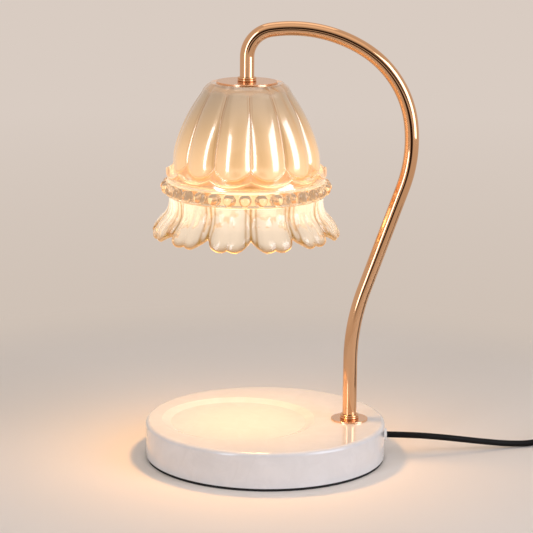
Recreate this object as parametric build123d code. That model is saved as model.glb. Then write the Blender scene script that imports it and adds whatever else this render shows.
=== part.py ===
from build123d import *
import os
from math import atan2, cos, degrees, pi, radians, sin, sqrt, tan

# Candle warmer lamp: a round marble base with a shallow candle dish, a bent metal tube that
# rises beside it and hooks over, and a moulded glass flower shade with a GU10 bulb that shines
# down on the candle. The lead leaves the base's side and carries a rotary dimmer, a tied coil
# and a two-blade plug. Millimetres, +Z up. The origin is the centre of the base, on the table;
# +X points from there to the arm's foot, and the lamp faces -Y.

os.makedirs("parts", exist_ok=True)

# ------------------------------------------------------------------ driving dimensions (mm)
# Base
base_radius = 85.0
slab_thickness = 25.0
slab_edge_round = 3.0
pad_thickness = 2.0
pad_inset = 0.6
dish_rim = 11.25  # flat rim between the dish and the slab's edge, away from the arm
dish_foot_gap = 24.25  # from the dish's edge to the tube's centre
dish_border = 6.5
dish_depth = 2.2

# Arm: a bent tube, followed from the foot to the head
tube_diameter = 10.0
tube_wall = 1.0
arm_foot_inset = 25.3  # from the slab's edge to the tube's centre
arm_upright = 43.2  # straight length above the base
lean_radius = 155.0
lean_angle = 19.34
slope_length = 77.7
back_bends = [(98.9, 26.07), (70.85, 51.5), (94.9, 40.79)]  # (radius, degrees), turning back
crook_radius = 19.0
arm_drop = 30.9  # straight length after the crook, down to the tube's lower end

# Foot hardware
flange_diameter = 26.2
flange_thickness = 1.2
flange_round = 0.4
foot_collar_diameter = 13.4
foot_collar_height = 3.0
tube_hole_clearance = 0.25  # radial, in the marble and in the glass
foot_clamp_thickness = 7.0  # marble left under the flange
nut_pocket_radius = 18.0
foot_washer_diameter = 20.0
foot_washer_thickness = 1.5
lock_washer_diameter = 17.0
lock_washer_thickness = 1.0
lock_washer_teeth = 12
nut_across_flats = 14.0
nut_height = 4.0
nut_corner_cut = 0.35  # how far its chamfers reach in from the corners
tube_end_proud = 1.5  # tube standing past each nut

# Head hardware, and the glass that it clamps
head_collar_diameter = 13.3
head_collar_height = 2.9
collar_bead_radius = 0.75
disc_diameter = 42.2
disc_thickness = 1.0
gasket_thickness = 0.8
gasket_diameter = 36.0
lower_gasket_diameter = 28.0
shade_washer_diameter = 26.0
shade_washer_thickness = 2.0
glass_top_thickness = 4.0

# Glass shade: (distance below the glass's top, radius at the crown of a petal)
petal_count = 12
seam_turn = 4.0  # degrees from -Y towards +X to the first seam between petals
dome_crowns = [
    (1.6, 27.6),
    (8.1, 32.3),
    (16.5, 37.9),
    (27.0, 43.6),
    (37.7, 48.1),
    (48.2, 51.1),
    (63.6, 51.7),
]
dome_top_crown = 25.2
petal_swell = 0.075  # a crown stands out from its seams by this share of its radius
glass_wall = 3.6
petal_tip_drop = 60.8  # below the glass's top, to a petal's rounded lower end
petal_tip_rise = 7.0  # from a petal's lower end up to where two petals meet
petal_relief = 3.7  # how far a petal's lower end stands out from the glass behind it
belt_step = 0.9  # the belt between collar and beads stands out from the petals by this
collar_drop = 65.4  # to the lower edge of the scalloped collar
collar_rise = 4.2
collar_edge = 1.2  # height of its upright edge
collar_overhang = 3.3  # past the belt
collar_hollow = 21.0  # radius of the hollow below each petal's end
bead_count = 32
bead_radius = 4.3
bead_ring_drop = 72.8
bead_ring_step = 0.6  # from the band's surface out to the beads' centres
bead_band_height = 11.0
bead_band_inset = 1.1  # the band under the beads, inwards from the collar
skirt_start_drop = 78.0
skirt_sections = [  # (distance below the skirt's start, radius at a crown, radius at a seam)
    (0.0, 54.2, 53.8),
    (6.3, 53.9, 52.9),
    (12.8, 55.8, 53.6),
    (19.3, 61.6, 57.4),
    (23.8, 64.4, 59.2),
]
skirt_end_radii = (65.0, 59.6)  # at a crown and at a seam
skirt_drop = 107.4  # to the lowest point of the skirt's lobes
skirt_rise = 7.4
skirt_wall = 3.6

# Lamp holder and its bracket
bracket_thickness = 1.0
bracket_width = 12.0
bracket_span = 24.0
bracket_height = 11.3
bracket_foot = 6.0
holder_diameter = 28.0
holder_height = 17.0
holder_edge_round = 1.0
lead_well_radius = 4.2
lead_well_depth = 4.0
contact_width = 4.0
contact_thickness = 0.6
screw_spacing = 19.0
screw_diameter = 3.0
screw_head_diameter = 5.5
screw_head_height = 2.2
screw_head_sink = 3.0

# GU10 bulb, turned by hand to unlock it
pin_spacing = 10.0
pin_diameter = 3.0
pin_head_diameter = 5.0
pin_length = 7.0
pin_head_height = 2.3
pin_play = 0.3  # clearance between the pins and the holder's slots
unlock_angle = 20.0
bulb_diameter = 50.0
bulb_length = 47.0  # from the face to the shoulder that meets the holder
bulb_neck_diameter = 21.0
bulb_neck_length = 15.0
bulb_neck_round = 1.5
cup_fullness = 0.62  # share of the cup's widening reached at cup_share of its depth
cup_share = 0.42
bulb_wall = 1.8
bulb_rim_height = 3.0
lens_thickness = 2.0
lens_sink = 1.0
capsule_diameter = 9.0
capsule_length = 24.0

# Lead: a round two-core cord, with two insulated wires inside the arm
cord_diameter = 4.5
wire_diameter = 2.2
wire_gap = 0.3
cord_exit_z = 16.0
grommet_flange_diameter = 8.9
grommet_flange_thickness = 1.5
grommet_wall = 1.3
grommet_seat = 0.4
stop_tie_thickness = 1.2
stop_tie_width = 2.5
stop_tie_head = 4.6

# Dimmer on the lead
dimmer_tip_x = 222.0  # where its first strain relief begins
dimmer_y = 29.5
dimmer_length = 58.0
dimmer_width = 31.0
dimmer_height = 20.0
dimmer_split = 7.0  # height of the joint between its shells, and of the cord
dimmer_corner = 9.0
dimmer_edge_round = 2.0
shell_wall = 1.8
dial_diameter = 24.0
dial_thickness = 6.0
dial_recess = 3.0
dial_play = 0.4
dial_grips = 24
dial_grip_radius = 0.7
pointer_length = 7.0
pointer_width = 1.4
pointer_depth = 0.5
shaft_diameter = 6.0
shaft_play = 0.05
pot_diameter = 16.0
pot_height = 6.0
board_length = 36.0
board_width = 20.0
board_thickness = 1.6
board_height = 3.4  # of its underside, on the lower shell's posts
post_diameter = 5.0
triac_width = 9.0
triac_thickness = 4.0
triac_height = 8.0
capacitor_width = 12.0
capacitor_thickness = 5.5
capacitor_height = 8.5
shell_screw_spacing_x = 44.0
shell_screw_spacing_y = 19.0
shell_screw_diameter = 2.6
shell_screw_head = 4.6
shell_screw_head_height = 1.6
shell_screw_sink = 0.8
shell_screw_length = 13.0
boss_diameter = 6.0
relief_length = 20.0
relief_tip_diameter = 6.2
relief_root_diameter = 9.0
relief_ribs = 4
relief_groove = 0.7
relief_neck = 1.2  # how much smaller its neck is, all round, where a wall grips it
relief_plug_depth = 4.0  # how far a strain relief reaches into its housing

# Coil of the spare length, and its strap
coil_x = 372.5
coil_columns = 3
coil_turns_each = 3.0
coil_pitch = 4.6
coil_inner_turn = 20.5
entry_stub = 22.0  # straight cord from the coil's first turn to the tube that meets it
exit_stub = 28.0
coil_lead_run = 10.0  # each straight end of the lead between dimmer and coil
plug_lead_start = 11.5  # the plug lead's straight run off the coil
plug_lead_end = 14.0  # and its straight run into the plug
strap_thickness = 0.8
strap_arc = 20.0

# Plug with two flat blades
plug_tip_x = 300.0
plug_length = 30.0
plug_width = 26.0
plug_thickness = 16.0
plug_edge_round = 4.0
blade_spacing = 12.7
blade_length = 17.0
blade_height = 6.35
blade_thickness = 1.5
blade_seat = 6.0  # how deep the blades are moulded in

# ------------------------------------------------------------------ levels and places
base_top = pad_thickness + slab_thickness
arm_foot_x = base_radius - arm_foot_inset
dish_right = arm_foot_x - dish_foot_gap
dish_left = dish_rim - base_radius
dish_radius = (dish_right - dish_left) / 2
dish_x = (dish_right + dish_left) / 2
pocket_top = base_top - foot_clamp_thickness
foot_nut_bottom = pocket_top - foot_washer_thickness - lock_washer_thickness - nut_height
tube_bottom = foot_nut_bottom - tube_end_proud
tube_radius = tube_diameter / 2
tube_bore_radius = tube_radius - tube_wall


def arm_line(start_z):
    """The tube's centreline from start_z to its lower end under the shade, as edges in XZ."""
    edges = [Line((arm_foot_x, start_z), (arm_foot_x, base_top + arm_upright))]

    def straight(length):
        edges.append(Line(edges[-1] @ 1, edges[-1] @ 1 + (edges[-1] % 1) * length))

    def bend(radius, angle):
        edges.append(JernArc(edges[-1] @ 1, edges[-1] % 1, radius, angle))

    bend(lean_radius, -lean_angle)
    straight(slope_length)
    for radius, angle in back_bends:
        bend(radius, angle)
    bend(crook_radius, 180 + lean_angle - sum(angle for _, angle in back_bends))
    straight(arm_drop)
    return edges


tube_end = arm_line(tube_bottom)[-1] @ 1
shade_x = tube_end.X
head_nut_bottom = tube_end.Y + tube_end_proud
bracket_top = head_nut_bottom + nut_height + bracket_thickness
ceiling = bracket_top + shade_washer_thickness + gasket_thickness
glass_top = ceiling + glass_top_thickness
disc_top = glass_top + disc_thickness
band_top = glass_top - bead_ring_drop + bead_band_height / 2
holder_top = bracket_top - bracket_height
holder_face = holder_top - holder_height
bulb_face = holder_face - bulb_length
core_radius = dome_crowns[-1][1] - petal_relief
belt_radius = dome_crowns[-1][1] + belt_step
collar_radius = belt_radius + collar_overhang
bead_band_radius = collar_radius - bead_band_inset
bead_ring_radius = bead_band_radius + bead_ring_step
seam_phase = -90 + seam_turn
petal_angle = 360 / petal_count
cord_radius = cord_diameter / 2
dimmer_x = dimmer_tip_x + relief_length + dimmer_length / 2
coil_outer_turn = coil_inner_turn + (coil_columns - 1) * coil_pitch
coil_y = dimmer_y - coil_outer_turn
coil_entry_z = strap_thickness + cord_radius
coil_exit_z = coil_entry_z + coil_turns_each * coil_pitch
plug_root_x = plug_tip_x - relief_length
plug_y = coil_y - coil_inner_turn
plug_z = plug_thickness / 2
relief_neck_radius = relief_root_diameter / 2 - relief_neck
recess_floor = dimmer_height - dial_recess
dial_bottom = recess_floor + dial_play
board_top = board_height + board_thickness
shaft_bottom = board_top + pot_height / 4
screw_reach = shell_screw_sink + shell_screw_head_height + shell_screw_length


def save(name, shape):
    """Write one node's solid or group of solids to its STEP file."""
    export_step(shape, f"parts/{name}.step")


def ring(outer_radius, inner_radius, bottom, height, x=0.0, y=0.0):
    """A flat ring or washer standing on the level bottom."""
    body = Cylinder(outer_radius, height) - Cylinder(inner_radius, height)
    return Pos(x, y, bottom + height / 2) * body


def disc(radius, bottom, height, x=0.0, y=0.0):
    """An upright cylinder standing on the level bottom."""
    return Pos(x, y, bottom + height / 2) * Cylinder(radius, height)


def turned(points, x=0.0, y=0.0):
    """A solid turned about the upright axis through x, y from (radius, height) corners."""
    profile = Plane.XZ * make_face(Polyline(*points, close=True))
    return Pos(x, y, 0) * revolve(profile, Axis.Z)


def lying_cylinder(radius, start, length):
    """A cylinder along +X from the point start."""
    return Pos(start[0] + length / 2, start[1], start[2]) * Rot(0, 90, 0) * Cylinder(radius, length)


# ------------------------------------------------------------------ base
def base_pad():
    return disc(base_radius - pad_inset, 0, pad_thickness)


def marble_base():
    """The slab, with its rounded top edge, candle dish, tube hole, nut pocket and cord hole."""
    slab = disc(base_radius, pad_thickness, slab_thickness)
    slab = fillet(slab.edges().group_by(Axis.Z)[-1], slab_edge_round)
    dish = Pos(dish_x, 0, base_top - dish_depth / 2) * Cone(
        dish_radius - dish_border, dish_radius, dish_depth
    )
    tube_hole = disc(tube_radius + tube_hole_clearance, pad_thickness, slab_thickness, arm_foot_x)
    pocket = disc(nut_pocket_radius, pad_thickness, pocket_top - pad_thickness, arm_foot_x)
    cord_hole = lying_cylinder(
        cord_radius + grommet_wall, (arm_foot_x, 0, cord_exit_z), base_radius - arm_foot_x
    )
    seat = lying_cylinder(
        grommet_flange_diameter / 2, (base_radius - grommet_seat, 0, cord_exit_z), base_radius
    )
    return slab - dish - tube_hole - pocket - cord_hole - seat


def cord_grommet():
    """A flanged bush that lines the cord's hole in the slab."""
    pocket_wall = arm_foot_x + nut_pocket_radius
    seat_x = base_radius - grommet_seat
    flange = lying_cylinder(
        grommet_flange_diameter / 2, (seat_x, 0, cord_exit_z), grommet_seat + grommet_flange_thickness
    )
    flange = fillet(flange.edges().group_by(Axis.X)[-1], grommet_flange_thickness / 2)
    sleeve = lying_cylinder(cord_radius + grommet_wall, (pocket_wall, 0, cord_exit_z), seat_x - pocket_wall)
    bore = lying_cylinder(cord_radius, (pocket_wall, 0, cord_exit_z), base_radius)
    return flange + sleeve - bore


def cord_stop():
    """A cable tie locked round the cord inside the base, so that it can't be pulled out."""
    x = arm_foot_x + nut_pocket_radius - stop_tie_width - grommet_wall
    band = lying_cylinder(cord_radius + stop_tie_thickness, (x, 0, cord_exit_z), stop_tie_width)
    head = Pos(x + stop_tie_width / 2, 0, cord_exit_z - cord_radius - stop_tie_head / 2) * Box(
        stop_tie_width, stop_tie_head, stop_tie_head
    )
    return band + head - lying_cylinder(cord_radius, (x, 0, cord_exit_z), stop_tie_width)


# ------------------------------------------------------------------ arm and its foot
def swept_tube(edges, radius, offset_y=0.0):
    """A round solid along edges drawn in XZ, moved sideways by offset_y."""
    path = Pos(0, offset_y, 0) * (Plane.XZ * Wire(edges))
    start = Plane(origin=path @ 0, z_dir=path % 0)
    return sweep(start * Circle(radius), path=path)


def arm_tube():
    edges = arm_line(tube_bottom)
    return swept_tube(edges, tube_radius) - swept_tube(edges, tube_bore_radius)


def foot_flange():
    plate = ring(flange_diameter / 2, tube_radius, base_top, flange_thickness, arm_foot_x)
    return fillet(plate.edges().group_by(Axis.Z)[-1].sort_by(SortBy.RADIUS)[-1], flange_round)


def beaded_collar(bottom, diameter, height, x):
    """A short sleeve round the tube, with a rounded bead at each end."""
    neck_radius = diameter / 2 - collar_bead_radius
    sleeve = disc(neck_radius, bottom, height, x)
    for level in (bottom + collar_bead_radius, bottom + height - collar_bead_radius):
        sleeve += Pos(x, 0, level) * Torus(neck_radius, collar_bead_radius)
    return sleeve - disc(tube_radius, bottom, height, x)


def lock_washer():
    """A washer with outside teeth, under the foot's nut."""
    bottom = pocket_top - foot_washer_thickness - lock_washer_thickness
    plate = ring(lock_washer_diameter / 2, tube_radius, bottom, lock_washer_thickness, arm_foot_x)
    gap = lock_washer_diameter * pi / lock_washer_teeth / 4
    for tooth in range(lock_washer_teeth):
        angle = radians(tooth * 360 / lock_washer_teeth)
        plate -= disc(
            gap,
            bottom,
            lock_washer_thickness,
            arm_foot_x + lock_washer_diameter / 2 * cos(angle),
            lock_washer_diameter / 2 * sin(angle),
        )
    return plate


def hex_nut(bottom, x):
    """A thin nut on the tube's thread, which is drawn plain."""
    blank = extrude(RegularPolygon(nut_across_flats / 2, 6, major_radius=False, rotation=30), nut_height)
    chamfers = Pos(0, 0, nut_height / 2) * Cylinder(nut_across_flats / sqrt(3) - nut_corner_cut, nut_height)
    chamfers = chamfer(chamfers.edges(), nut_height / 8)
    blank &= chamfers
    return Pos(x, 0, bottom) * blank - disc(tube_radius, bottom, nut_height, x)


def shade_disc():
    """The round cover plate on top of the glass."""
    plate = ring(disc_diameter / 2, tube_radius, glass_top, disc_thickness, shade_x)
    return fillet(plate.edges().group_by(Axis.Z)[-1].sort_by(SortBy.RADIUS)[-1], disc_thickness / 3)


def gasket(diameter, bottom):
    """A soft ring between the glass and a metal plate."""
    return ring(diameter / 2, tube_radius, bottom, gasket_thickness, shade_x)


def shade_washer():
    """The steel washer between the lower gasket and the holder's bracket."""
    return ring(shade_washer_diameter / 2, tube_radius, bracket_top, shade_washer_thickness, shade_x)


# ------------------------------------------------------------------ glass shade
def polar(radius, angle):
    return (radius * cos(radians(angle)), radius * sin(radians(angle)))


def lobed_face(height, crown_radius, seam_radius):
    """A flat face with one outward arc for each petal, at one height on the shade's axis."""
    arcs = []
    for petal in range(petal_count):
        angle = seam_phase + petal * petal_angle
        arcs.append(
            ThreePointArc(
                polar(seam_radius, angle),
                polar(crown_radius, angle + petal_angle / 2),
                polar(seam_radius, angle + petal_angle),
            )
        )
    return Pos(shade_x, 0, height) * make_face(arcs)


def below_scallops(radius, inner_radius, lowest, rise, floor):
    """What lies under a scalloped edge: one arc to a petal, lowest at the petal's middle."""
    half_chord = radius * sin(radians(petal_angle / 2))
    arc_radius = (half_chord**2 + rise**2) / (2 * rise)
    under = ring(radius, inner_radius, floor, lowest + rise - floor, shade_x)
    length = radius - inner_radius + 2 * rise
    for petal in range(petal_count):
        angle = seam_phase + (petal + 0.5) * petal_angle
        x, y = polar((radius + inner_radius) / 2, angle)
        under -= (
            Pos(shade_x + x, y, lowest + arc_radius)
            * Rot(0, 0, angle)
            * Rot(0, 90, 0)
            * Cylinder(arc_radius, length)
        )
    return under


def dome_seam(crown_radius):
    return crown_radius * (1 - petal_swell)


def petal_dome():
    """The fluted dome: shoulder and petals, cut to rounded petal ends at the bottom."""
    first_drop, first_crown = dome_crowns[0]
    shoulder = loft(
        [
            lobed_face(glass_top, dome_top_crown, dome_seam(dome_top_crown)),
            lobed_face(glass_top - first_drop, first_crown, dome_seam(first_crown)),
        ]
    )
    dome = loft([lobed_face(glass_top - drop, crown, dome_seam(crown)) for drop, crown in dome_crowns])
    tip = glass_top - petal_tip_drop
    foot = glass_top - dome_crowns[-1][0]
    return shoulder + dome - below_scallops(
        dome_crowns[-1][1] + glass_wall / 2, core_radius, tip, petal_tip_rise, foot - petal_tip_rise
    )


def ledge_hollows():
    """What is hollowed out of the collar's top: a sloping trough from each petal's end to the edge."""
    tip = glass_top - petal_tip_drop
    edge = glass_top - collar_drop + collar_edge
    width = collar_radius - core_radius
    slope = degrees(atan2(tip - edge, width))
    middle = (collar_radius + core_radius) / 2 + collar_hollow * sin(radians(slope))
    level = (tip + edge) / 2 + collar_hollow * cos(radians(slope))
    hollows = []
    for petal in range(petal_count):
        angle = seam_phase + (petal + 0.5) * petal_angle
        x, y = polar(middle, angle)
        hollows.append(
            Pos(shade_x + x, y, level)
            * Rot(0, 0, angle)
            * Rot(0, 90 + slope, 0)
            * Cylinder(collar_hollow, 3 * width)
        )
    return hollows


def scalloped_collar():
    """The ledge under the petals, with one lobe below each of them."""
    lowest = glass_top - collar_drop
    highest = glass_top - petal_tip_drop + petal_tip_rise
    band = turned(
        [
            (0, lowest),
            (collar_radius, lowest),
            (collar_radius, lowest + collar_rise + collar_edge),
            (core_radius, highest),
            (0, highest),
        ],
        shade_x,
    )
    under = below_scallops(
        collar_radius + collar_rise, belt_radius, lowest, collar_rise, lowest - collar_rise
    )
    return band - [under, *ledge_hollows()]


def bead_band():
    """The band below the collar, with rounded edges."""
    bottom = glass_top - bead_ring_drop - bead_band_height / 2
    band = disc(bead_band_radius, bottom, bead_band_height, shade_x)
    return fillet(band.edges(), bead_band_height / 6)


def beads():
    """The row of round beads around the band."""
    middle = glass_top - bead_ring_drop
    balls = []
    for bead in range(bead_count):
        angle = -90 + bead * 360 / bead_count
        x, y = polar(bead_ring_radius, angle)
        balls.append(Pos(shade_x + x, y, middle) * Rot(0, 0, angle) * Sphere(bead_radius))
    return balls


def skirt_faces(wall):
    """The flared skirt's lobed faces from its neck down, drawn in by wall."""
    start = glass_top - skirt_start_drop
    faces = [lobed_face(start - fall, crown - wall, seam - wall) for fall, crown, seam in skirt_sections]
    crown, seam = skirt_end_radii
    faces.append(lobed_face(glass_top - skirt_drop, crown - wall, seam - wall))
    return faces


def shade_bore():
    """The smooth space inside the glass, from the ceiling down to the skirt's neck."""
    neck = glass_top - skirt_start_drop
    corners = [(0, neck), (bead_band_radius - glass_wall, neck), (core_radius - glass_wall / 2, band_top)]
    for drop, crown in reversed(dome_crowns[1:-1]):
        corners.append((dome_seam(crown) - glass_wall, glass_top - drop))
    corners.append((dome_seam(dome_crowns[0][1]) - glass_wall, ceiling))
    corners.append((0, ceiling))
    return turned(corners, shade_x)


def glass_dome():
    """The glass above its bead band: the petals, and the collar below them."""
    belt = disc(belt_radius, band_top, glass_top - collar_drop + collar_rise - band_top, shade_x)
    outside = belt + [petal_dome(), scalloped_collar()]
    tube_hole = disc(tube_radius + tube_hole_clearance, ceiling, glass_top_thickness, shade_x)
    gasket_seat = disc(gasket_diameter / 2, glass_top - gasket_thickness, gasket_thickness, shade_x)
    return outside - shade_bore() - tube_hole - gasket_seat


def glass_skirt():
    """The glass from its bead band down: the beads and the flared skirt."""
    skirt = loft(skirt_faces(0.0)) - below_scallops(
        skirt_end_radii[0] + skirt_rise,
        core_radius - 2 * skirt_wall,
        glass_top - skirt_drop,
        skirt_rise,
        glass_top - skirt_drop - skirt_rise,
    )
    return bead_band() + skirt - shade_bore() - loft(skirt_faces(skirt_wall)) + beads()


# ------------------------------------------------------------------ lamp holder
def holder_bracket():
    """A bent strip: clamped by the head's nut, with two feet that carry the holder."""
    half = bracket_span / 2
    t = bracket_thickness
    outline = Polyline(
        (-half, bracket_top),
        (half, bracket_top),
        (half, holder_top),
        (half - bracket_foot, holder_top),
        (half - bracket_foot, holder_top + t),
        (half - t, holder_top + t),
        (half - t, bracket_top - t),
        (t - half, bracket_top - t),
        (t - half, holder_top + t),
        (bracket_foot - half, holder_top + t),
        (bracket_foot - half, holder_top),
        (-half, holder_top),
        close=True,
    )
    strip = Pos(shade_x, 0, 0) * extrude(
        Plane.XZ * make_face(outline), bracket_width / 2, both=True
    )
    strip -= disc(tube_radius, bracket_top - t, t, shade_x)
    for side in (-1, 1):
        strip -= disc(screw_diameter / 2, holder_top, t, shade_x + side * screw_spacing / 2)
    return strip


def slot_path(radius, clearance, bottom, height):
    """One pin's way through the holder: an arc-shaped slot about the lamp's axis."""
    half = radius + clearance
    middle = pin_spacing / 2
    arc = revolve(
        Plane.XZ * Pos(middle, bottom + height / 2) * Rectangle(2 * half, height),
        Axis.Z,
        revolution_arc=unlock_angle,
    )
    ends = [disc(half, bottom, height, *polar(middle, angle)) for angle in (0, unlock_angle)]
    return arc + ends


def keyhole():
    """One pin's whole cut: the entry at angle 0, and the slot round to the locked place."""
    front = pin_length - pin_head_height - pin_play
    head_room = pin_head_height + 2 * pin_play
    shank_slot = slot_path(pin_diameter / 2, pin_play, holder_face, front)
    head_slot = slot_path(pin_head_diameter / 2, pin_play, holder_face + front, head_room)
    entry = disc(pin_head_diameter / 2 + pin_play, holder_face, front, pin_spacing / 2)
    return shank_slot + head_slot + entry


def gu10_holder():
    """Ceramic body with two keyhole slots for the bulb's pins, a wire well and screw holes."""
    body = disc(holder_diameter / 2, holder_face, holder_height)
    body = fillet(body.edges(), holder_edge_round)
    for side in (90, 270):
        # seen from below, the bulb unlocks anticlockwise
        body -= Rot(0, 0, side - unlock_angle) * keyhole()
        body -= contact_bar(side)
    body -= disc(lead_well_radius, holder_top - lead_well_depth, lead_well_depth)
    for side in (-1, 1):
        x = side * screw_spacing / 2
        body -= disc(screw_diameter / 2, holder_face, holder_height, x)
        body -= disc(screw_head_diameter / 2, holder_face, screw_head_sink + screw_head_height, x)
    return Pos(shade_x, 0, 0) * body


def contact_bar(side):
    """A brass contact: a leaf over one pin's head and a tab that stands in the wire well."""
    leaf_bottom = holder_face + pin_length + pin_play
    x, y = polar(pin_spacing / 2, side)
    leaf = Pos(x, y, leaf_bottom + contact_thickness / 2) * Box(
        contact_width, contact_width, contact_thickness
    )
    tab_top = holder_top - lead_well_depth / 2
    tab_y = y / abs(y) * (wire_diameter + wire_gap + contact_thickness + pin_play)
    tab = Pos(x, tab_y, (leaf_bottom + tab_top) / 2) * Box(
        contact_width / 2, contact_thickness, tab_top - leaf_bottom
    )
    bridge = Pos(x, (y + tab_y) / 2, leaf_bottom + contact_thickness / 2) * Box(
        contact_width / 2, abs(y - tab_y) + contact_thickness, contact_thickness
    )
    return leaf + bridge + tab


def holder_contacts():
    return Pos(shade_x, 0, 0) * Compound([contact_bar(90), contact_bar(270)])


def holder_screws():
    """Two screws that run up through the holder into the bracket's feet."""
    screws = []
    seat = holder_face + screw_head_sink
    for side in (-1, 1):
        x = shade_x + side * screw_spacing / 2
        head = disc(screw_head_diameter / 2, seat, screw_head_height, x)
        head -= Pos(x, 0, seat) * Box(screw_head_diameter, screw_diameter / 4, screw_head_height)
        neck = seat + screw_head_height
        shank = disc(screw_diameter / 2, neck, holder_top + bracket_thickness - neck, x)
        screws.append(head + shank)
    return Compound(screws)


# ------------------------------------------------------------------ bulb
def bulb_pins():
    pins = []
    for side in (90, 270):
        x, y = polar(pin_spacing / 2, side)
        shank = disc(pin_diameter / 2, holder_face - bulb_wall, bulb_wall + pin_length, shade_x + x, y)
        head = disc(
            pin_head_diameter / 2,
            holder_face + pin_length - pin_head_height,
            pin_head_height,
            shade_x + x,
            y,
        )
        pins.append(shank + head)
    return Compound(pins)


def bulb_base():
    """The ceramic neck under the holder, with the pins' sockets and the capsule's seat."""
    bottom = holder_face - bulb_neck_length
    body = disc(bulb_neck_diameter / 2, bottom, bulb_neck_length - pin_play, shade_x)
    body = fillet(body.edges().group_by(Axis.Z)[-1], bulb_neck_round)
    body -= disc(capsule_diameter / 2, bottom, bulb_neck_length / 2, shade_x)
    return body - bulb_pins()


def bulb_reflector():
    """Pressed-glass reflector: a curved cup from the neck down to the bulb's rim."""
    neck = bulb_neck_diameter / 2
    neck_bottom = holder_face - bulb_neck_length
    depth = neck_bottom - bulb_face - bulb_rim_height
    rim = bulb_diameter / 2

    def wall_line(inset):
        return Spline(
            (neck - inset, neck_bottom),
            (neck - inset + cup_fullness * (rim - neck), neck_bottom - cup_share * depth),
            (rim - inset, neck_bottom - depth),
        )

    outer, inner = wall_line(0), wall_line(bulb_wall)
    outline = [
        outer,
        Line(outer @ 1, (rim, bulb_face)),
        Line((rim, bulb_face), (rim - bulb_wall, bulb_face)),
        Line((rim - bulb_wall, bulb_face), inner @ 1),
        inner,
        Line(inner @ 0, outer @ 0),
    ]
    return Pos(shade_x, 0, 0) * revolve(Plane.XZ * make_face(outline), Axis.Z)


def bulb_lens():
    radius = bulb_diameter / 2 - bulb_wall
    return disc(radius, bulb_face + lens_sink, lens_thickness, shade_x)


def bulb_capsule():
    """The halogen capsule, from its seat in the neck down towards the lens."""
    top = holder_face - bulb_neck_length / 2
    radius = capsule_diameter / 2
    body = disc(radius, top - capsule_length + radius, capsule_length - radius, shade_x)
    return body + Pos(shade_x, 0, top - capsule_length + radius) * Sphere(radius)


# ------------------------------------------------------------------ wires and cord
def filleted_route(points):
    """Straight runs joined by the largest tangent arcs that the runs allow, and the radii."""
    route = [Vector(*point) for point in points]
    arcs = []
    for before, corner, after in zip(route, route[1:], route[2:]):
        half_turn = radians((corner - before).get_angle(after - corner)) / 2
        shorter = min((corner - before).length, (after - corner).length)
        arcs.append(0.45 * shorter / tan(half_turn))
    return FilletPolyline(*route, radius=arcs), arcs


def cord_tube(name, points, diameter):
    """A plain round cord along a route of points, with its facts printed."""
    path, arcs = filleted_route(points)
    wire = Wire(path.edges())
    tube = sweep(Plane(origin=wire @ 0, z_dir=wire % 0) * Circle(diameter / 2), path=wire)
    section = pi * diameter**2 / 4
    shown = ", ".join(f"{radius:.1f}" for radius in arcs)
    ratio = tube.volume / section / wire.length
    print(f"{name}: {wire.length:.1f} long, radii {shown}, volume ratio {ratio:.5f}")
    return tube


cord_inner_end = arm_foot_x + nut_pocket_radius - stop_tie_width - 2 * grommet_wall
dimmer_left = dimmer_x - dimmer_length / 2
dimmer_right = dimmer_x + dimmer_length / 2

lamp_lead_route = [
    (cord_inner_end, 0, cord_exit_z),
    (100, 0, cord_exit_z),
    (127, 5.5, 12.6),
    (152, 13.6, 7.6),
    (176, 21.6, 3.2),
    (195, 26.4, 2.3),
    (211, dimmer_y, dimmer_split),
    (dimmer_tip_x, dimmer_y, dimmer_split),
]
coil_lead_route = [
    (dimmer_right + relief_length, dimmer_y, dimmer_split),
    (dimmer_right + relief_length + coil_lead_run, dimmer_y, dimmer_split),
    (coil_x - entry_stub - coil_lead_run, dimmer_y, coil_entry_z),
    (coil_x - entry_stub, dimmer_y, coil_entry_z),
]
plug_lead_route = [
    (coil_x - exit_stub, plug_y, coil_exit_z),
    (coil_x - exit_stub - plug_lead_start, plug_y, coil_exit_z),
    (plug_tip_x + plug_lead_end, plug_y, plug_z),
    (plug_tip_x, plug_y, plug_z),
]


def wire_route():
    """Where one wire runs below the tube: out of the cord's sheath and up into the tube."""
    return [
        (cord_inner_end, cord_exit_z),
        (cord_inner_end - 3.7, cord_exit_z),
        (cord_inner_end - 4.3, cord_exit_z - 6.2),
        (cord_inner_end - 8.3, cord_exit_z - 9.6),
        (arm_foot_x, cord_exit_z - 9.4),
        (arm_foot_x, tube_bottom),
    ]


def arm_wires():
    """Two insulated wires from the cord, through the whole tube, to the holder's well."""
    flat = [(x, z, 0) for x, z in wire_route()]
    below, _ = filleted_route(flat)
    inside = arm_line(tube_bottom)
    tail = Line(inside[-1] @ 1, (shade_x, holder_top - lead_well_depth + wire_gap))
    edges = [*below.edges(), *inside, tail]
    offset = (wire_diameter + wire_gap) / 2
    return Compound([swept_tube(edges, wire_diameter / 2, side * offset) for side in (-1, 1)])


def coil_section(grown=0.0):
    """The coil's cross-section in XZ, from its inner to its outer turns, grown on every side."""
    width = (coil_columns - 1) * coil_pitch + cord_diameter
    height = coil_turns_each * coil_pitch + cord_diameter
    middle = coil_inner_turn + (coil_columns - 1) * coil_pitch / 2
    section = Rectangle(width + 2 * grown, height + 2 * grown)
    return Plane.XZ * Pos(middle, strap_thickness + height / 2) * section


def lead_coil():
    """The wound spare length: one ring, with a stub of cord where the lead enters and leaves."""
    coil = Pos(coil_x, coil_y, 0) * revolve(coil_section(), Axis.Z)
    entry = lying_cylinder(cord_radius, (coil_x - entry_stub, dimmer_y, coil_entry_z), entry_stub)
    leaving = lying_cylinder(cord_radius, (coil_x - exit_stub, plug_y, coil_exit_z), exit_stub)
    return coil + entry + leaving


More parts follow.
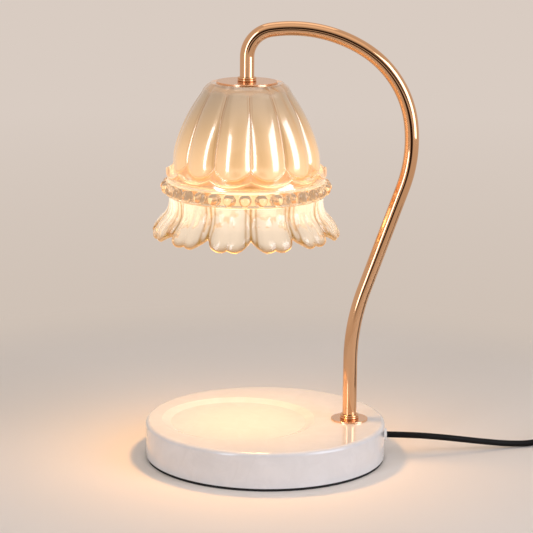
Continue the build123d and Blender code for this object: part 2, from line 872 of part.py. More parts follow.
def coil_strap():
    """A hook-and-loop strap closed round the coil's turns."""
    loop = coil_section(strap_thickness) - coil_section()
    band = revolve(loop, Axis.Z, revolution_arc=strap_arc)
    return Pos(coil_x, coil_y, 0) * Rot(0, 0, -strap_arc / 2) * band


# ------------------------------------------------------------------ dimmer
def at_dimmer(shape):
    return Pos(dimmer_x, dimmer_y, 0) * shape


def shell_block(inset, bottom, top):
    """A block of the dimmer's rounded outline, drawn in by inset."""
    outline = RectangleRounded(dimmer_length - 2 * inset, dimmer_width - 2 * inset, dimmer_corner - inset)
    return Pos(0, 0, bottom) * extrude(outline, top - bottom)


def boss_places():
    for x in (-shell_screw_spacing_x / 2, shell_screw_spacing_x / 2):
        for y in (-shell_screw_spacing_y / 2, shell_screw_spacing_y / 2):
            yield x, y


def relief_holes():
    """Where the two strain reliefs pass through the end walls."""
    start = (-dimmer_length / 2, 0, dimmer_split)
    return lying_cylinder(relief_neck_radius, start, dimmer_length)


def dimmer_lower_shell():
    """Lower half of the dimmer's case, with screw tubes and posts for the board."""
    shell = shell_block(0, 0, dimmer_split)
    shell = fillet(shell.edges().group_by(Axis.Z)[0], dimmer_edge_round)
    shell -= shell_block(shell_wall, shell_wall, dimmer_split)
    for x, y in boss_places():
        shell += disc(boss_diameter / 2, shell_wall, dimmer_split - shell_wall, x, y)
        shell -= disc(shell_screw_diameter / 2, 0, dimmer_split, x, y)
        shell -= disc(shell_screw_head / 2, 0, shell_screw_sink + shell_screw_head_height, x, y)
    for side in (-1, 1):
        x = side * (board_length - post_diameter) / 2
        shell += disc(post_diameter / 2, shell_wall, board_height - shell_wall, x)
    return at_dimmer(shell - relief_holes())


def dimmer_upper_shell():
    """Upper half of the case, with the dial's recess and the shaft's hole."""
    shell = shell_block(0, dimmer_split, dimmer_height)
    shell = fillet(shell.edges().group_by(Axis.Z)[-1], dimmer_edge_round)
    shell -= shell_block(shell_wall, dimmer_split, dimmer_height - shell_wall)
    recess_radius = dial_diameter / 2 + dial_play
    cup_height = dial_recess + shell_wall - dimmer_edge_round / 2
    shell += disc(recess_radius + shell_wall, recess_floor - shell_wall, cup_height)
    shell -= disc(recess_radius, recess_floor, dimmer_height - recess_floor)
    shell -= disc(shaft_diameter / 2 + dial_play, dimmer_split, dimmer_height)
    for x, y in boss_places():
        shell += disc(boss_diameter / 2, dimmer_split, dimmer_height - shell_wall - dimmer_split, x, y)
        shell -= disc(shell_screw_diameter / 2, dimmer_split, screw_reach - dimmer_split, x, y)
    return at_dimmer(shell - relief_holes())


def dimmer_screws():
    """Four small screws, driven from below through the lower shell."""
    screws = []
    for x, y in boss_places():
        head = disc(shell_screw_head / 2, shell_screw_sink, shell_screw_head_height, x, y)
        cross = Box(shell_screw_head * 0.6, shell_screw_diameter / 5, shell_screw_head_height)
        for turn in (0, 90):
            head -= Pos(x, y, shell_screw_sink) * Rot(0, 0, turn) * cross
        neck = shell_screw_sink + shell_screw_head_height
        screws.append(head + disc(shell_screw_diameter / 2, neck, screw_reach - neck, x, y))
    return at_dimmer(Compound(screws))


def dimmer_board():
    return at_dimmer(
        Pos(0, 0, board_height + board_thickness / 2) * Box(board_length, board_width, board_thickness)
    )


def dimmer_pot():
    """The rotary control's can on the board, with a blind bore for its shaft."""
    can = disc(pot_diameter / 2, board_top, pot_height)
    can = fillet(can.edges().group_by(Axis.Z)[-1], shell_wall / 4)
    return at_dimmer(can - disc(shaft_diameter / 2 + shaft_play, shaft_bottom - dial_play, pot_height))


def dimmer_cord_ends():
    """The ends of both cords, gripped in the strain reliefs."""
    length = relief_length + relief_plug_depth
    ends = [
        lying_cylinder(cord_radius, (start, dimmer_y, dimmer_split), length)
        for start in (dimmer_left - relief_length, dimmer_right - relief_plug_depth)
    ]
    return Compound(ends)


def dimmer_wires():
    """Two short wires from each cord's end down to the board."""
    wires = []
    reach = (dimmer_length - board_length) / 2 - relief_plug_depth
    for sense in (-1, 1):
        start_x = dimmer_x + sense * (dimmer_length / 2 - relief_plug_depth)
        for side in (-1, 1):
            y = dimmer_y + side * (wire_diameter + wire_gap) / 2
            low = board_top + wire_diameter / 2
            route = [
                (start_x, y, dimmer_split),
                (start_x - sense * reach / 2, y, dimmer_split),
                (start_x - sense * reach, y, low),
                (start_x - sense * (reach + wire_diameter), y, low),
            ]
            path, _ = filleted_route(route)
            wire = Wire(path.edges())
            section = Plane(origin=wire @ 0, z_dir=wire % 0) * Circle(wire_diameter / 2)
            wires.append(sweep(section, path=wire))
    return Compound(wires)


def dimmer_components():
    """The triac on its tab and the film capacitor, standing on the board."""
    place = (board_length + pot_diameter) / 4
    triac = Pos(-place, 0, board_top + triac_height / 2) * Box(triac_thickness, triac_width, triac_height)
    capacitor = Pos(place, 0, board_top + capacitor_height / 2) * Box(
        capacitor_thickness, capacitor_width, capacitor_height
    )
    return at_dimmer(Compound([triac, fillet(capacitor.edges().group_by(Axis.Z)[-1], triac_thickness / 4)]))


def dial_shaft():
    """The control's shaft, turned by the dial."""
    top = dial_bottom + dial_thickness * 2 / 3
    return at_dimmer(disc(shaft_diameter / 2, shaft_bottom, top - shaft_bottom))


def dimmer_dial():
    """A round dial with grip grooves on its side and a pointer groove on its top."""
    radius = dial_diameter / 2
    body = disc(radius, dial_bottom, dial_thickness)
    body = fillet(body.edges().group_by(Axis.Z)[-1], dial_grip_radius)
    for grip in range(dial_grips):
        x, y = polar(radius, grip * 360 / dial_grips)
        body -= disc(dial_grip_radius, dial_bottom, dial_thickness, x, y)
    top = dial_bottom + dial_thickness
    groove = Box(pointer_length, pointer_width, 2 * pointer_depth)
    body -= Pos(radius - dial_grip_radius * 2 - pointer_length / 2, 0, top) * groove
    return at_dimmer(body) - dial_shaft()


def strain_relief(root_x, y, z, sense):
    """A tapered, ribbed sleeve of soft plastic round the cord; sense is its way along X."""
    tip, root = relief_tip_diameter / 2, relief_root_diameter / 2
    groove = relief_groove
    pitch = relief_length / (2 * relief_ribs)
    corners = [(-relief_plug_depth, cord_radius), (-relief_plug_depth, root)]
    corners += [(-shell_wall, root), (-shell_wall, relief_neck_radius), (0, relief_neck_radius)]
    for step in range(2 * relief_ribs):
        radius = root + (tip - root) * (step + 0.5) / (2 * relief_ribs)
        depth = groove if step % 2 else 0.0
        corners += [(step * pitch, radius - depth), ((step + 1) * pitch, radius - depth)]
    corners.append((relief_length, cord_radius))
    outline = Polyline(*[(root_x + sense * along, radius) for along, radius in corners], close=True)
    return Pos(0, y, z) * revolve(make_face(outline), Axis.X)


# ------------------------------------------------------------------ plug
def plug_body():
    """A plug moulded round the cord's end, with a ribbed strain relief, lying flat on the table."""
    block = Box(plug_length, plug_width, plug_thickness)
    block = fillet(block.edges().filter_by(Axis.X), plug_edge_round)
    block = fillet(block.edges().group_by(Axis.X)[-1], plug_edge_round / 2)
    body = Pos(plug_root_x - plug_length / 2, plug_y, plug_z) * block
    body += strain_relief(plug_root_x, plug_y, plug_z, 1)
    inside = (plug_root_x - relief_plug_depth, plug_y, plug_z)
    body += lying_cylinder(cord_radius, inside, relief_plug_depth + relief_length)
    return body - plug_blades()


def plug_blades():
    """Two flat blades, each with a round hole near its end."""
    blades = []
    face_x = plug_root_x - plug_length
    for side in (-1, 1):
        place = Pos(face_x + (blade_seat - blade_length) / 2, plug_y + side * blade_spacing / 2, plug_z)
        blade = place * Box(blade_length + blade_seat, blade_thickness, blade_height)
        hole = Pos(face_x - blade_length + blade_height * 0.6, plug_y, plug_z) * Rot(90, 0, 0)
        blades.append(blade - hole * Cylinder(blade_height / 4, plug_width))
    return Compound(blades)


def build_all():
    """Every node's name and shape."""
    yield "base_pad", base_pad()
    yield "marble_base", marble_base()
    yield "cord_grommet", cord_grommet()
    yield "cord_stop", cord_stop()
    yield "arm_tube", arm_tube()
    yield "arm_wires", arm_wires()
    yield "foot_flange", foot_flange()
    collar_bottom = base_top + flange_thickness
    yield "foot_collar", beaded_collar(collar_bottom, foot_collar_diameter, foot_collar_height, arm_foot_x)
    washer_bottom = pocket_top - foot_washer_thickness
    yield "foot_washer", ring(
        foot_washer_diameter / 2, tube_radius, washer_bottom, foot_washer_thickness, arm_foot_x
    )
    yield "foot_lock_washer", lock_washer()
    yield "foot_nut", hex_nut(foot_nut_bottom, arm_foot_x)
    yield "head_collar", beaded_collar(disc_top, head_collar_diameter, head_collar_height, shade_x)
    yield "shade_disc", shade_disc()
    yield "upper_gasket", gasket(gasket_diameter, glass_top - gasket_thickness)
    yield "glass_dome", glass_dome()
    yield "glass_skirt", glass_skirt()
    yield "lower_gasket", gasket(lower_gasket_diameter, ceiling - gasket_thickness)
    yield "shade_washer", shade_washer()
    yield "head_nut", hex_nut(head_nut_bottom, shade_x)
    yield "holder_bracket", holder_bracket()
    yield "gu10_holder", gu10_holder()
    yield "holder_contacts", holder_contacts()
    yield "holder_screws", holder_screws()
    yield "bulb_pins", bulb_pins()
    yield "bulb_base", bulb_base()
    yield "bulb_reflector", bulb_reflector()
    yield "bulb_lens", bulb_lens()
    yield "bulb_capsule", bulb_capsule()
    yield "lamp_lead", cord_tube("lamp_lead", lamp_lead_route, cord_diameter)
    yield "coil_lead", cord_tube("coil_lead", coil_lead_route, cord_diameter)
    yield "lead_coil", lead_coil()
    yield "coil_strap", coil_strap()
    yield "plug_lead", cord_tube("plug_lead", plug_lead_route, cord_diameter)
    yield "dimmer_lower_shell", dimmer_lower_shell()
    yield "dimmer_upper_shell", dimmer_upper_shell()
    yield "dimmer_screws", dimmer_screws()
    yield "dimmer_board", dimmer_board()
    yield "dimmer_pot", dimmer_pot()
    yield "dimmer_components", dimmer_components()
    yield "dimmer_cord_ends", dimmer_cord_ends()
    yield "dimmer_wires", dimmer_wires()
    yield "dial_shaft", dial_shaft()
    yield "dimmer_dial", dimmer_dial()
    yield "dimmer_relief_in", strain_relief(dimmer_left, dimmer_y, dimmer_split, -1)
    yield "dimmer_relief_out", strain_relief(dimmer_right, dimmer_y, dimmer_split, 1)
    yield "plug_body", plug_body()
    yield "plug_blades", plug_blades()


for node, shape in build_all():
    save(node, shape)
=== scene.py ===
import logging
from dataclasses import dataclass, field
from enum import Enum
from math import cos, pi, radians, sin, tan
from typing import Any, Sequence

import bpy
import numpy as np
from mathutils import Matrix, Vector


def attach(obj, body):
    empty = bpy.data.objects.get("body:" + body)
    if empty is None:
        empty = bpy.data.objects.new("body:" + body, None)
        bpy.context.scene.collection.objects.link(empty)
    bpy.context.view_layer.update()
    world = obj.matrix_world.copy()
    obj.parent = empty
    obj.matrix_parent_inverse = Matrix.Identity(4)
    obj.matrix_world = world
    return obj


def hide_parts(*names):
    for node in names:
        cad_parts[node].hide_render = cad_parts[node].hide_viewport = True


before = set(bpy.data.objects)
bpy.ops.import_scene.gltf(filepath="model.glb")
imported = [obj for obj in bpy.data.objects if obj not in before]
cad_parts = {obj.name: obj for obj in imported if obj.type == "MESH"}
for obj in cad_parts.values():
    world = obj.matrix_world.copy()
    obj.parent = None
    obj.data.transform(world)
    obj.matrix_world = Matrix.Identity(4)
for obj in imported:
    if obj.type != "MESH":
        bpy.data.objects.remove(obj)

# A candle warmer lamp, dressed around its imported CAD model: a marble base, a rose-gold arm, a
# pressed glass flower shade with a lit GU10 bulb, and a lead with a dimmer, a tied coil and a
# plug. Lengths are written in millimetres and turned to metres where a mesh is made; only the
# studio's are in metres. +X points from the base's centre to the arm's foot, +Z is up, and the
# lamp faces -Y, which is FRONT in degrees. The shade's axis stands at SHADE_X, and its first seam
# lies at SEAM_PHASE degrees. A wave texture of scale 1 repeats every WAVE_PERIOD metres.

LOG = logging.getLogger("lamp")
PER_METRE = 1000
MM = 1 / PER_METRE
SHADE_X = -14.85
FRONT = -90.0
SEAM_PHASE = -86.0
PETALS = 12
WAVE_PERIOD = pi / 10
Array = np.ndarray
Pair = tuple[float, float]
Triple = tuple[float, float, float]
Pairs = tuple[Pair, ...]
Triples = tuple[Triple, ...]
Tree = bpy.types.NodeTree
Socket = bpy.types.NodeSocket


# ------------------------------------------------------------------ helpers
def linear(colour: str) -> tuple[float, float, float, float]:
    """Turns an sRGB hex colour to linear light.

    Each channel up to 0.04045 is divided by 12.92, and any other is raised to the power 2.4
    after 0.055 is added and the sum is divided by 1.055.

    Args:
        colour: The colour as #RRGGBB.

    Returns:
        Red, green, blue and an alpha of 1.
    """
    channels = np.array([int(colour[i : i + 2], 16) for i in (1, 3, 5)]) / 255
    curved = ((channels + 0.055) / 1.055) ** 2.4
    values = np.where(channels <= 0.04045, channels / 12.92, curved)
    return (*values.tolist(), 1.0)


def add_node(
    tree: Tree, kind: str, inputs: dict[Any, Any] | None = None, **settings: Any
) -> bpy.types.Node:
    """Adds a node with its settings and links.

    Args:
        tree: The node tree that gets it.
        kind: Blender's name for the node's type.
        inputs: Socket name or number to a value, or to the output socket that feeds it.
        settings: The node's own properties; stops is a ramp's list of (place, colour).

    Returns:
        The new node.
    """
    made = tree.nodes.new(kind)
    stops = settings.pop("stops", ())
    if stops:
        ramp = made.color_ramp.elements
        ramp.remove(ramp[-1])
        ramp[0].position, ramp[0].color = stops[0]
        for place, colour in stops[1:]:
            ramp.new(place).color = colour
    for name, value in settings.items():
        setattr(made, name, value)
    for key, value in (inputs or {}).items():
        if isinstance(value, Socket):
            tree.links.new(value, made.inputs[key])
        else:
            made.inputs[key].default_value = value
    return made


def mix_colours(
    tree: Tree, share: Socket, first: str | Socket, second: str | Socket
) -> Socket:
    """Mixes two colours, each a hex string or the socket that gives it.

    Args:
        tree: The node tree.
        share: The socket that gives the second colour's share.
        first: One colour.
        second: The other one.

    Returns:
        The socket that gives the mixed colour.
    """
    pair = [linear(colour) if isinstance(colour, str) else colour for colour in (first, second)]
    inputs = {"Factor": share, "A": pair[0], "B": pair[1]}
    return add_node(tree, "ShaderNodeMix", inputs, data_type="RGBA").outputs["Result"]


def map_value(
    tree: Tree,
    value: Socket,
    span: Pair,
    reach: Pair = (0.0, 1.0),
    kind: str = "LINEAR",
) -> Socket:
    """Maps a span of a value to a reach of the result, and holds it at both ends.

    Args:
        tree: The node tree.
        value: The socket that gives the value.
        span: The value where the result starts to change and where it stops.
        reach: The result at those two.
        kind: How it changes between them.

    Returns:
        The socket that gives the result.
    """
    limits = zip(("From Min", "From Max", "To Min", "To Max"), (*span, *reach))
    inputs = {"Value": value, **dict(limits)}
    return add_node(tree, "ShaderNodeMapRange", inputs, interpolation_type=kind).outputs["Result"]


def combine(
    tree: Tree, operation: str, first: float | Socket, second: float | Socket
) -> Socket:
    """Works out one number from two, each a number or the socket that gives it.

    Args:
        tree: The node tree.
        operation: Blender's name for what is done.
        first: One number.
        second: The other one.

    Returns:
        The socket that gives the result.
    """
    return add_node(tree, "ShaderNodeMath", {0: first, 1: second}, operation=operation).outputs[0]


def read_noise(
    tree: Tree, where: Socket, size: float, detail: float, distortion: float = 0.0
) -> Socket:
    """Reads a noise whose features have a real size.

    Args:
        tree: The node tree.
        where: The socket that gives the place.
        size: The features' size in millimetres.
        detail: How many finer layers it has.
        distortion: How far its features are drawn out.

    Returns:
        The socket that gives its value.
    """
    inputs = {"Vector": where, "Scale": PER_METRE / size, "Detail": detail}
    inputs["Distortion"] = distortion
    return add_node(tree, "ShaderNodeTexNoise", inputs).outputs["Fac"]


def add_relief(
    tree: Tree, shader: bpy.types.Node, height: Socket, strength: float, depth: float
) -> None:
    """Links a height to the shader's normal.

    Args:
        tree: The node tree.
        shader: The shader that gets the relief.
        height: The socket that gives the height, from 0 to 1.
        strength: How much of the relief shows.
        depth: How deep the relief is, in millimetres.
    """
    inputs = {"Height": height, "Strength": strength, "Distance": depth * MM}
    bump = add_node(tree, "ShaderNodeBump", inputs)
    tree.links.new(bump.outputs["Normal"], shader.inputs["Normal"])


def hermite(at: Array, places: Sequence[float], values: Sequence[float]) -> Array:
    """A smooth curve through given values, at each place in at.

    Between two neighbours it is the cubic that meets both values with the slopes that central
    differences give there.

    Args:
        at: Where the curve is wanted.
        places: Rising places of the known values.
        values: The known values.

    Returns:
        The curve's values, shaped as at.
    """
    x, y = np.asarray(places, float), np.asarray(values, float)
    slope = np.gradient(y, x)
    held = np.clip(at, x[0], x[-1])
    k = np.clip(np.searchsorted(x, held, side="right") - 1, 0, len(x) - 2)
    h = x[k + 1] - x[k]
    t = (held - x[k]) / h
    start = (1 + 2 * t) * (1 - t) ** 2 * y[k] + t * (1 - t) ** 2 * h * slope[k]
    end = t**2 * (3 - 2 * t) * y[k + 1] + t**2 * (t - 1) * h * slope[k + 1]
    return start + end


def smooth_step(value: Array, low: float, high: float) -> Array:
    """Rises from 0 at low to 1 at high with level ends: 3 t squared minus 2 t cubed."""
    t = np.clip((value - low) / (high - low), 0, 1)
    return t * t * (3 - 2 * t)


def bell(value: Array, middle: Array | float, width: float) -> Array:
    """A bump of height 1 at its middle: e to the minus square of the distance in widths."""
    return np.exp(-(((value - middle) / width) ** 2))


class Mark(Enum):
    """What a point of the glass tells its material."""

    PEARL = "pearl"
    SEAM = "seam"
    AMBER = "amber"
    # LIT is a painted glow, as emission, that stands in for the bulb's light inside the glass.
    LIT = "lit"


def ring_faces(rows: int, columns: int) -> Array:
    """Four-sided faces of a grid of points that closes on itself both ways.

    Rows that run down the outside of a turned shape, with columns that run anticlockwise from
    above, give faces that point outwards. A face joins a point to the one in the next row, to
    that one's neighbour and to its own neighbour.

    Args:
        rows: Number of rows.
        columns: Number of points in a row.

    Returns:
        One line of four point numbers per face.
    """
    i, j = np.meshgrid(np.arange(rows), np.arange(columns), indexing="ij")
    below, beside = (i + 1) % rows, (j + 1) % columns
    corners = [i * columns + j, below * columns + j, below * columns + beside, i * columns + beside]
    return np.stack(corners, -1).reshape(-1, 4)


def make_piece(
    name: str,
    points: Array,
    material: bpy.types.Material,
    body: str,
    marks: dict[Mark, Array] | None = None,
) -> bpy.types.Object:
    """Makes a smooth-shaded mesh object that rides on a CAD body.

    Args:
        name: The piece's name.
        points: Rows and columns of points in millimetres, closed both ways.
        material: Its finish.
        body: The CAD body that carries it.
        marks: Values for each point that its material reads.

    Returns:
        The new object, at the origin.
    """
    mesh = bpy.data.meshes.new(name)
    faces = ring_faces(*points.shape[:2])
    mesh.from_pydata((points.reshape(-1, 3) * MM).tolist(), [], faces.tolist(), shade_flat=False)
    for mark, values in (marks or {}).items():
        layer = mesh.attributes.new(mark.value, "FLOAT", "POINT")
        layer.data.foreach_set("value", np.asarray(values, np.float32).ravel())
    mesh.validate()
    mesh.materials.append(material)
    made = bpy.data.objects.new(name, mesh)
    bpy.context.scene.collection.objects.link(made)
    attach(made, body)
    LOG.info("%s: %d faces", name, len(mesh.polygons))
    return made


def dress(material: bpy.types.Material, *nodes: str) -> None:
    """Gives CAD nodes their finish.

    Args:
        material: The finish.
        nodes: Names of the CAD nodes.
    """
    for name in nodes:
        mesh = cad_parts[name].data
        mesh.materials.clear()
        mesh.materials.append(material)
        LOG.info("%s: %s", name, material.name)


# ------------------------------------------------------------------ finishes
@dataclass(frozen=True)
class Finish:
    """A real material and how its surface was made, as shader values and two noise patterns.

    The grain is the small relief that the maker's process leaves, and the tone is a slow drift
    of colour and gloss over the piece. Both sizes are real ones, in millimetres.
    """

    name: str
    colour: str
    second: str = ""
    roughness: float = 0.5
    roughness_drift: float = 0.05
    metallic: float = 0.0
    coat: float = 0.0
    coat_roughness: float = 0.05
    sheen: float = 0.0
    specular: float = 0.5
    grain_mm: float = 0.4
    grain_height: float = 0.02
    tone_mm: float = 12.0

    def constants(self) -> dict[str, Any]:
        """Values that are the same all over the surface."""
        return {
            "Base Color": linear(self.colour),
            "Roughness": self.roughness,
            "Metallic": self.metallic,
            "Coat Weight": self.coat,
            "Coat Roughness": self.coat_roughness,
            "Sheen Weight": self.sheen,
            "Specular IOR Level": self.specular,
        }

    def patterns(self, tree: Tree, shader: bpy.types.Node) -> None:
        """Links the tone to colour and roughness and the grain to the normal.

        Args:
            tree: The material's nodes.
            shader: Its Principled shader.
        """
        where = add_node(tree, "ShaderNodeTexCoord").outputs["Object"]
        tone = read_noise(tree, where, self.tone_mm, detail=4.0)
        mixed = mix_colours(tree, tone, self.colour, self.second or self.colour)
        tree.links.new(mixed, shader.inputs["Base Color"])
        least = max(0.0, self.roughness - self.roughness_drift)
        most = self.roughness + self.roughness_drift
        gloss = map_value(tree, tone, (0.3, 0.7), (least, most))
        tree.links.new(gloss, shader.inputs["Roughness"])
        grain = read_noise(tree, where, self.grain_mm, detail=3.0)
        add_relief(tree, shader, grain, 0.5, self.grain_height)

    def material(self) -> bpy.types.Material:
        """The Blender material of this finish, made once."""
        made = bpy.data.materials.get(self.name)
        if made is None:
            made = bpy.data.materials.new(self.name)
            made.use_nodes = True
            tree = made.node_tree
            tree.nodes.clear()
            shader = add_node(tree, "ShaderNodeBsdfPrincipled", self.constants())
            self.patterns(tree, shader)
            add_node(tree, "ShaderNodeOutputMaterial", {"Surface": shader.outputs[0]})
        return made


@dataclass(frozen=True)
class PolishedMarble(Finish):
    """White marble, sawn and polished: soft grey clouds, faint crossing veins and a deep gloss."""

    cloud: str = "#D7D5D4"
    vein: str = "#CECCCA"
    vein_mm: float = 34.0
    vein_strength: float = 0.22

    def patterns(self, tree: Tree, shader: bpy.types.Node) -> None:
        """Clouds are a noise through a ramp; a vein is where a second noise crosses its middle.

        Args:
            tree: The material's nodes.
            shader: Its Principled shader.
        """
        where = add_node(tree, "ShaderNodeTexCoord").outputs["Object"]
        clouds = read_noise(tree, where, self.tone_mm, detail=7.0, distortion=0.8)
        stops = [(0.36, linear(self.cloud)), (0.5, linear(self.colour)), (0.7, linear(self.second))]
        body = add_node(tree, "ShaderNodeValToRGB", {"Fac": clouds}, stops=stops)
        crossed = read_noise(tree, where, self.vein_mm, detail=9.0, distortion=1.6)
        black, peak = linear("#000000"), (self.vein_strength,) * 3 + (1.0,)
        stops = [(0.47, black), (0.497, peak), (0.53, black)]
        veins = add_node(tree, "ShaderNodeValToRGB", {"Fac": crossed}, stops=stops)
        mixed = mix_colours(tree, veins.outputs["Color"], body.outputs["Color"], self.vein)
        tree.links.new(mixed, shader.inputs["Base Color"])


@dataclass(frozen=True)
class PressedGlass(Finish):
    """Amber glass pressed in a steel mould: clear, slightly wavy, browner at its thick edges."""

    edge: str = "#A5721F"
    clearness: float = 1.0
    ior: float = 1.5
    coat_ior: float = 1.5
    # glow and edge_glow colour the painted glow, as emission, in clear glass and at the amber
    # edges.
    glow: str = "#FFC98A"
    edge_glow: str = "#FFC98A"
    strength: float = 1.0

    def constants(self) -> dict[str, Any]:
        """Clear glass all over, with a faint painted glow, as emission, for the bulb's light inside
        it.
        """
        values = super().constants()
        values.update(
            {
                "Transmission Weight": self.clearness,
                "IOR": self.ior,
                "Coat IOR": self.coat_ior,
                "Emission Strength": self.strength,
            }
        )
        return values

    def patterns(self, tree: Tree, shader: bpy.types.Node) -> None:
        """The piece's amber mark browns the thick edges, and its lit mark paints a glow, as
        emission, that stands in for the bulb's light.

        Args:
            tree: The material's nodes.
            shader: Its Principled shader.
        """
        mark = add_node(tree, "ShaderNodeAttribute", attribute_name=Mark.AMBER.value).outputs["Fac"]
        warmed = mix_colours(tree, mark, self.glow, self.edge_glow)
        lit = add_node(tree, "ShaderNodeAttribute", attribute_name=Mark.LIT.value).outputs["Fac"]
        glowing = mix_colours(tree, lit, "#000000", warmed)
        tree.links.new(glowing, shader.inputs["Emission Color"])
        mixed = mix_colours(tree, mark, self.colour, self.edge)
        tree.links.new(mixed, shader.inputs["Base Color"])
        where = add_node(tree, "ShaderNodeTexCoord").outputs["Object"]
        waves = read_noise(tree, where, self.grain_mm, detail=1.0)
        add_relief(tree, shader, waves, 1.0, self.grain_height)


@dataclass(frozen=True)
class PearledGlass(PressedGlass):
    """The same glass with a pearl lustre fired on inside its petals: milky, warm and glossy."""

    # The pearl's colours from top to foot: lighter and warmer at the foot as a painted glow of the
    # bulb's light, darker towards the top.
    pearl_top: str = "#BDA382"
    pearl_middle: str = "#DAB37F"
    pearl_foot: str = "#FFD29A"
    line: str = "#A9763F"
    pearl_roughness: float = 0.24
    lustre: float = 0.2
    top_mm: float = 262.0
    foot_mm: float = 206.0

    def patterns(self, tree: Tree, shader: bpy.types.Node) -> None:
        """The pearl mark closes the clear glass, with brown seam lines; its colour grows lighter
        and warmer downwards as a painted glow of the bulb's light.

        Args:
            tree: The material's nodes.
            shader: Its Principled shader.
        """
        super().patterns(tree, shader)
        clear = shader.inputs["Base Color"].links[0].from_socket
        where = add_node(tree, "ShaderNodeTexCoord").outputs["Object"]
        split = add_node(tree, "ShaderNodeSeparateXYZ", {"Vector": where})
        span = (self.foot_mm * MM, self.top_mm * MM)
        height = map_value(tree, split.outputs["Z"], span)
        foot, middle, top = map(linear, (self.pearl_foot, self.pearl_middle, self.pearl_top))
        stops = [(0.0, foot), (0.6, middle), (1.0, top)]
        pearl = add_node(tree, "ShaderNodeValToRGB", {"Fac": height}, stops=stops)
        seam = add_node(tree, "ShaderNodeAttribute", attribute_name=Mark.SEAM.value).outputs["Fac"]
        lined = mix_colours(tree, seam, pearl.outputs["Color"], self.line)
        mark = add_node(tree, "ShaderNodeAttribute", attribute_name=Mark.PEARL.value).outputs["Fac"]
        satin = (self.roughness, self.pearl_roughness)
        for name, value in (
            ("Base Color", mix_colours(tree, mark, clear, lined)),
            ("Transmission Weight", combine(tree, "SUBTRACT", 1.0, mark)),
            ("Roughness", map_value(tree, mark, (0.0, 1.0), satin)),
            ("Metallic", combine(tree, "MULTIPLY", self.lustre, mark)),
        ):
            tree.links.new(value, shader.inputs[name])


@dataclass(frozen=True)
class LitGlass(Finish):
    """Glass in front of a burning filament: it shows as a soft warm glow."""

    glow: str = "#FFD9A0"
    strength: float = 4.0

    def constants(self) -> dict[str, Any]:
        """The glow is the same all over."""
        values = super().constants()
        values.update({"Emission Color": linear(self.glow), "Emission Strength": self.strength})
        return values


@dataclass(frozen=True)
class WovenTape(Finish):
    """Nylon hook-and-loop tape: crossed threads under a short nap."""

    thread_mm: float = 0.8
    thread_relief: float = 0.25

    def patterns(self, tree: Tree, shader: bpy.types.Node) -> None:
        """Two crossed waves make the weave, and their lower one wins, as threads pass under.

        A wave texture's scale is the period that it has at scale 1 over the threads' spacing.

        Args:
            tree: The material's nodes.
            shader: Its Principled shader.
        """
        super().patterns(tree, shader)
        where = add_node(tree, "ShaderNodeTexCoord").outputs["Object"]
        scale = WAVE_PERIOD * PER_METRE / self.thread_mm
        inputs = {"Vector": where, "Scale": scale, "Distortion": 0.3}
        across, along = (
            add_node(tree, "ShaderNodeTexWave", inputs, bands_direction=way).outputs["Fac"]
            for way in ("Y", "Z")
        )
        weave = combine(tree, "MINIMUM", across, along)
        add_relief(tree, shader, weave, 0.8, self.thread_relief)


# White marble, polished and sealed: a cool body under a clear gloss that mirrors at a low angle.
MARBLE = PolishedMarble(
    "white_marble_polished",
    "#D9D7D6",
    "#DDDBDA",
    roughness=0.16,
    coat=0.6,
    coat_roughness=0.03,
    tone_mm=13.0,
)
# EVA foam, die cut: dead black, with open pores that swallow the light.
FOAM = Finish(
    "eva_foam_die_cut", "#141313", "#1D1B1A", roughness=0.9, grain_mm=0.6, grain_height=0.15
)
# Rose-gold plate on polished tube: a warm mirror with long unbroken streaks.
ROSE_TUBE = Finish(
    "rose_gold_plate_polished",
    "#E6B78D",
    "#E2B288",
    roughness=0.055,
    roughness_drift=0.01,
    metallic=1.0,
    grain_mm=6.0,
    grain_height=0.0005,
    tone_mm=30.0,
)
# The same plate on brushed, then blasted sheet: the mirror goes soft and keeps its colour.
ROSE_SATIN = Finish(
    "rose_gold_plate_satin",
    "#F2C8A6",
    "#EDC09C",
    roughness=0.2,
    roughness_drift=0.02,
    metallic=1.0,
    grain_mm=1.2,
    grain_height=0.002,
    tone_mm=14.0,
)
# Amber glass with fired pearl lustre: milky petals under a hard gloss, clear glass around them.
SHADE_DOME = PearledGlass(
    "amber_glass_pearl_lustre",
    "#FFF0D8",
    roughness=0.03,
    coat=1.0,
    coat_roughness=0.1,
    coat_ior=2.1,
    grain_mm=14.0,
    grain_height=0.25,
)
# Amber glass, pressed and fire-polished: clear walls with a painted glow for the bulb's light,
# golden edges.
SHADE_SKIRT = PressedGlass(
    "amber_glass_pressed",
    "#FFF4E2",
    roughness=0.02,
    clearness=0.95,
    glow="#FFEBD0",
    edge_glow="#C98A2C",
    grain_mm=9.0,
    grain_height=0.3,
)
# Silicone rubber, moulded: pale, a little waxy.
SILICONE = Finish("silicone_moulded", "#DAD8D2", "#CFCDC6", roughness=0.55, grain_mm=1.0)
# Zinc-plated steel: cool grey with small crystals that break up the gloss.
ZINC = Finish(
    "zinc_plated_steel",
    "#B9BBBC",
    "#A5A8AB",
    roughness=0.34,
    metallic=1.0,
    grain_mm=0.7,
    grain_height=0.01,
    tone_mm=6.0,
)
# Steatite, pressed and fired without a glaze: off-white, dry and chalky.
STEATITE = Finish(
    "steatite_fired", "#ECE9E0", "#E0DCD0", roughness=0.6, grain_mm=0.5, grain_height=0.03
)
# Brass, stamped from sheet: yellow metal with a fine drag that softens its gloss.
BRASS = Finish(
    "brass_stamped",
    "#D8B66A",
    "#C9A458",
    roughness=0.3,
    metallic=1.0,
    grain_mm=0.8,
    grain_height=0.008,
)
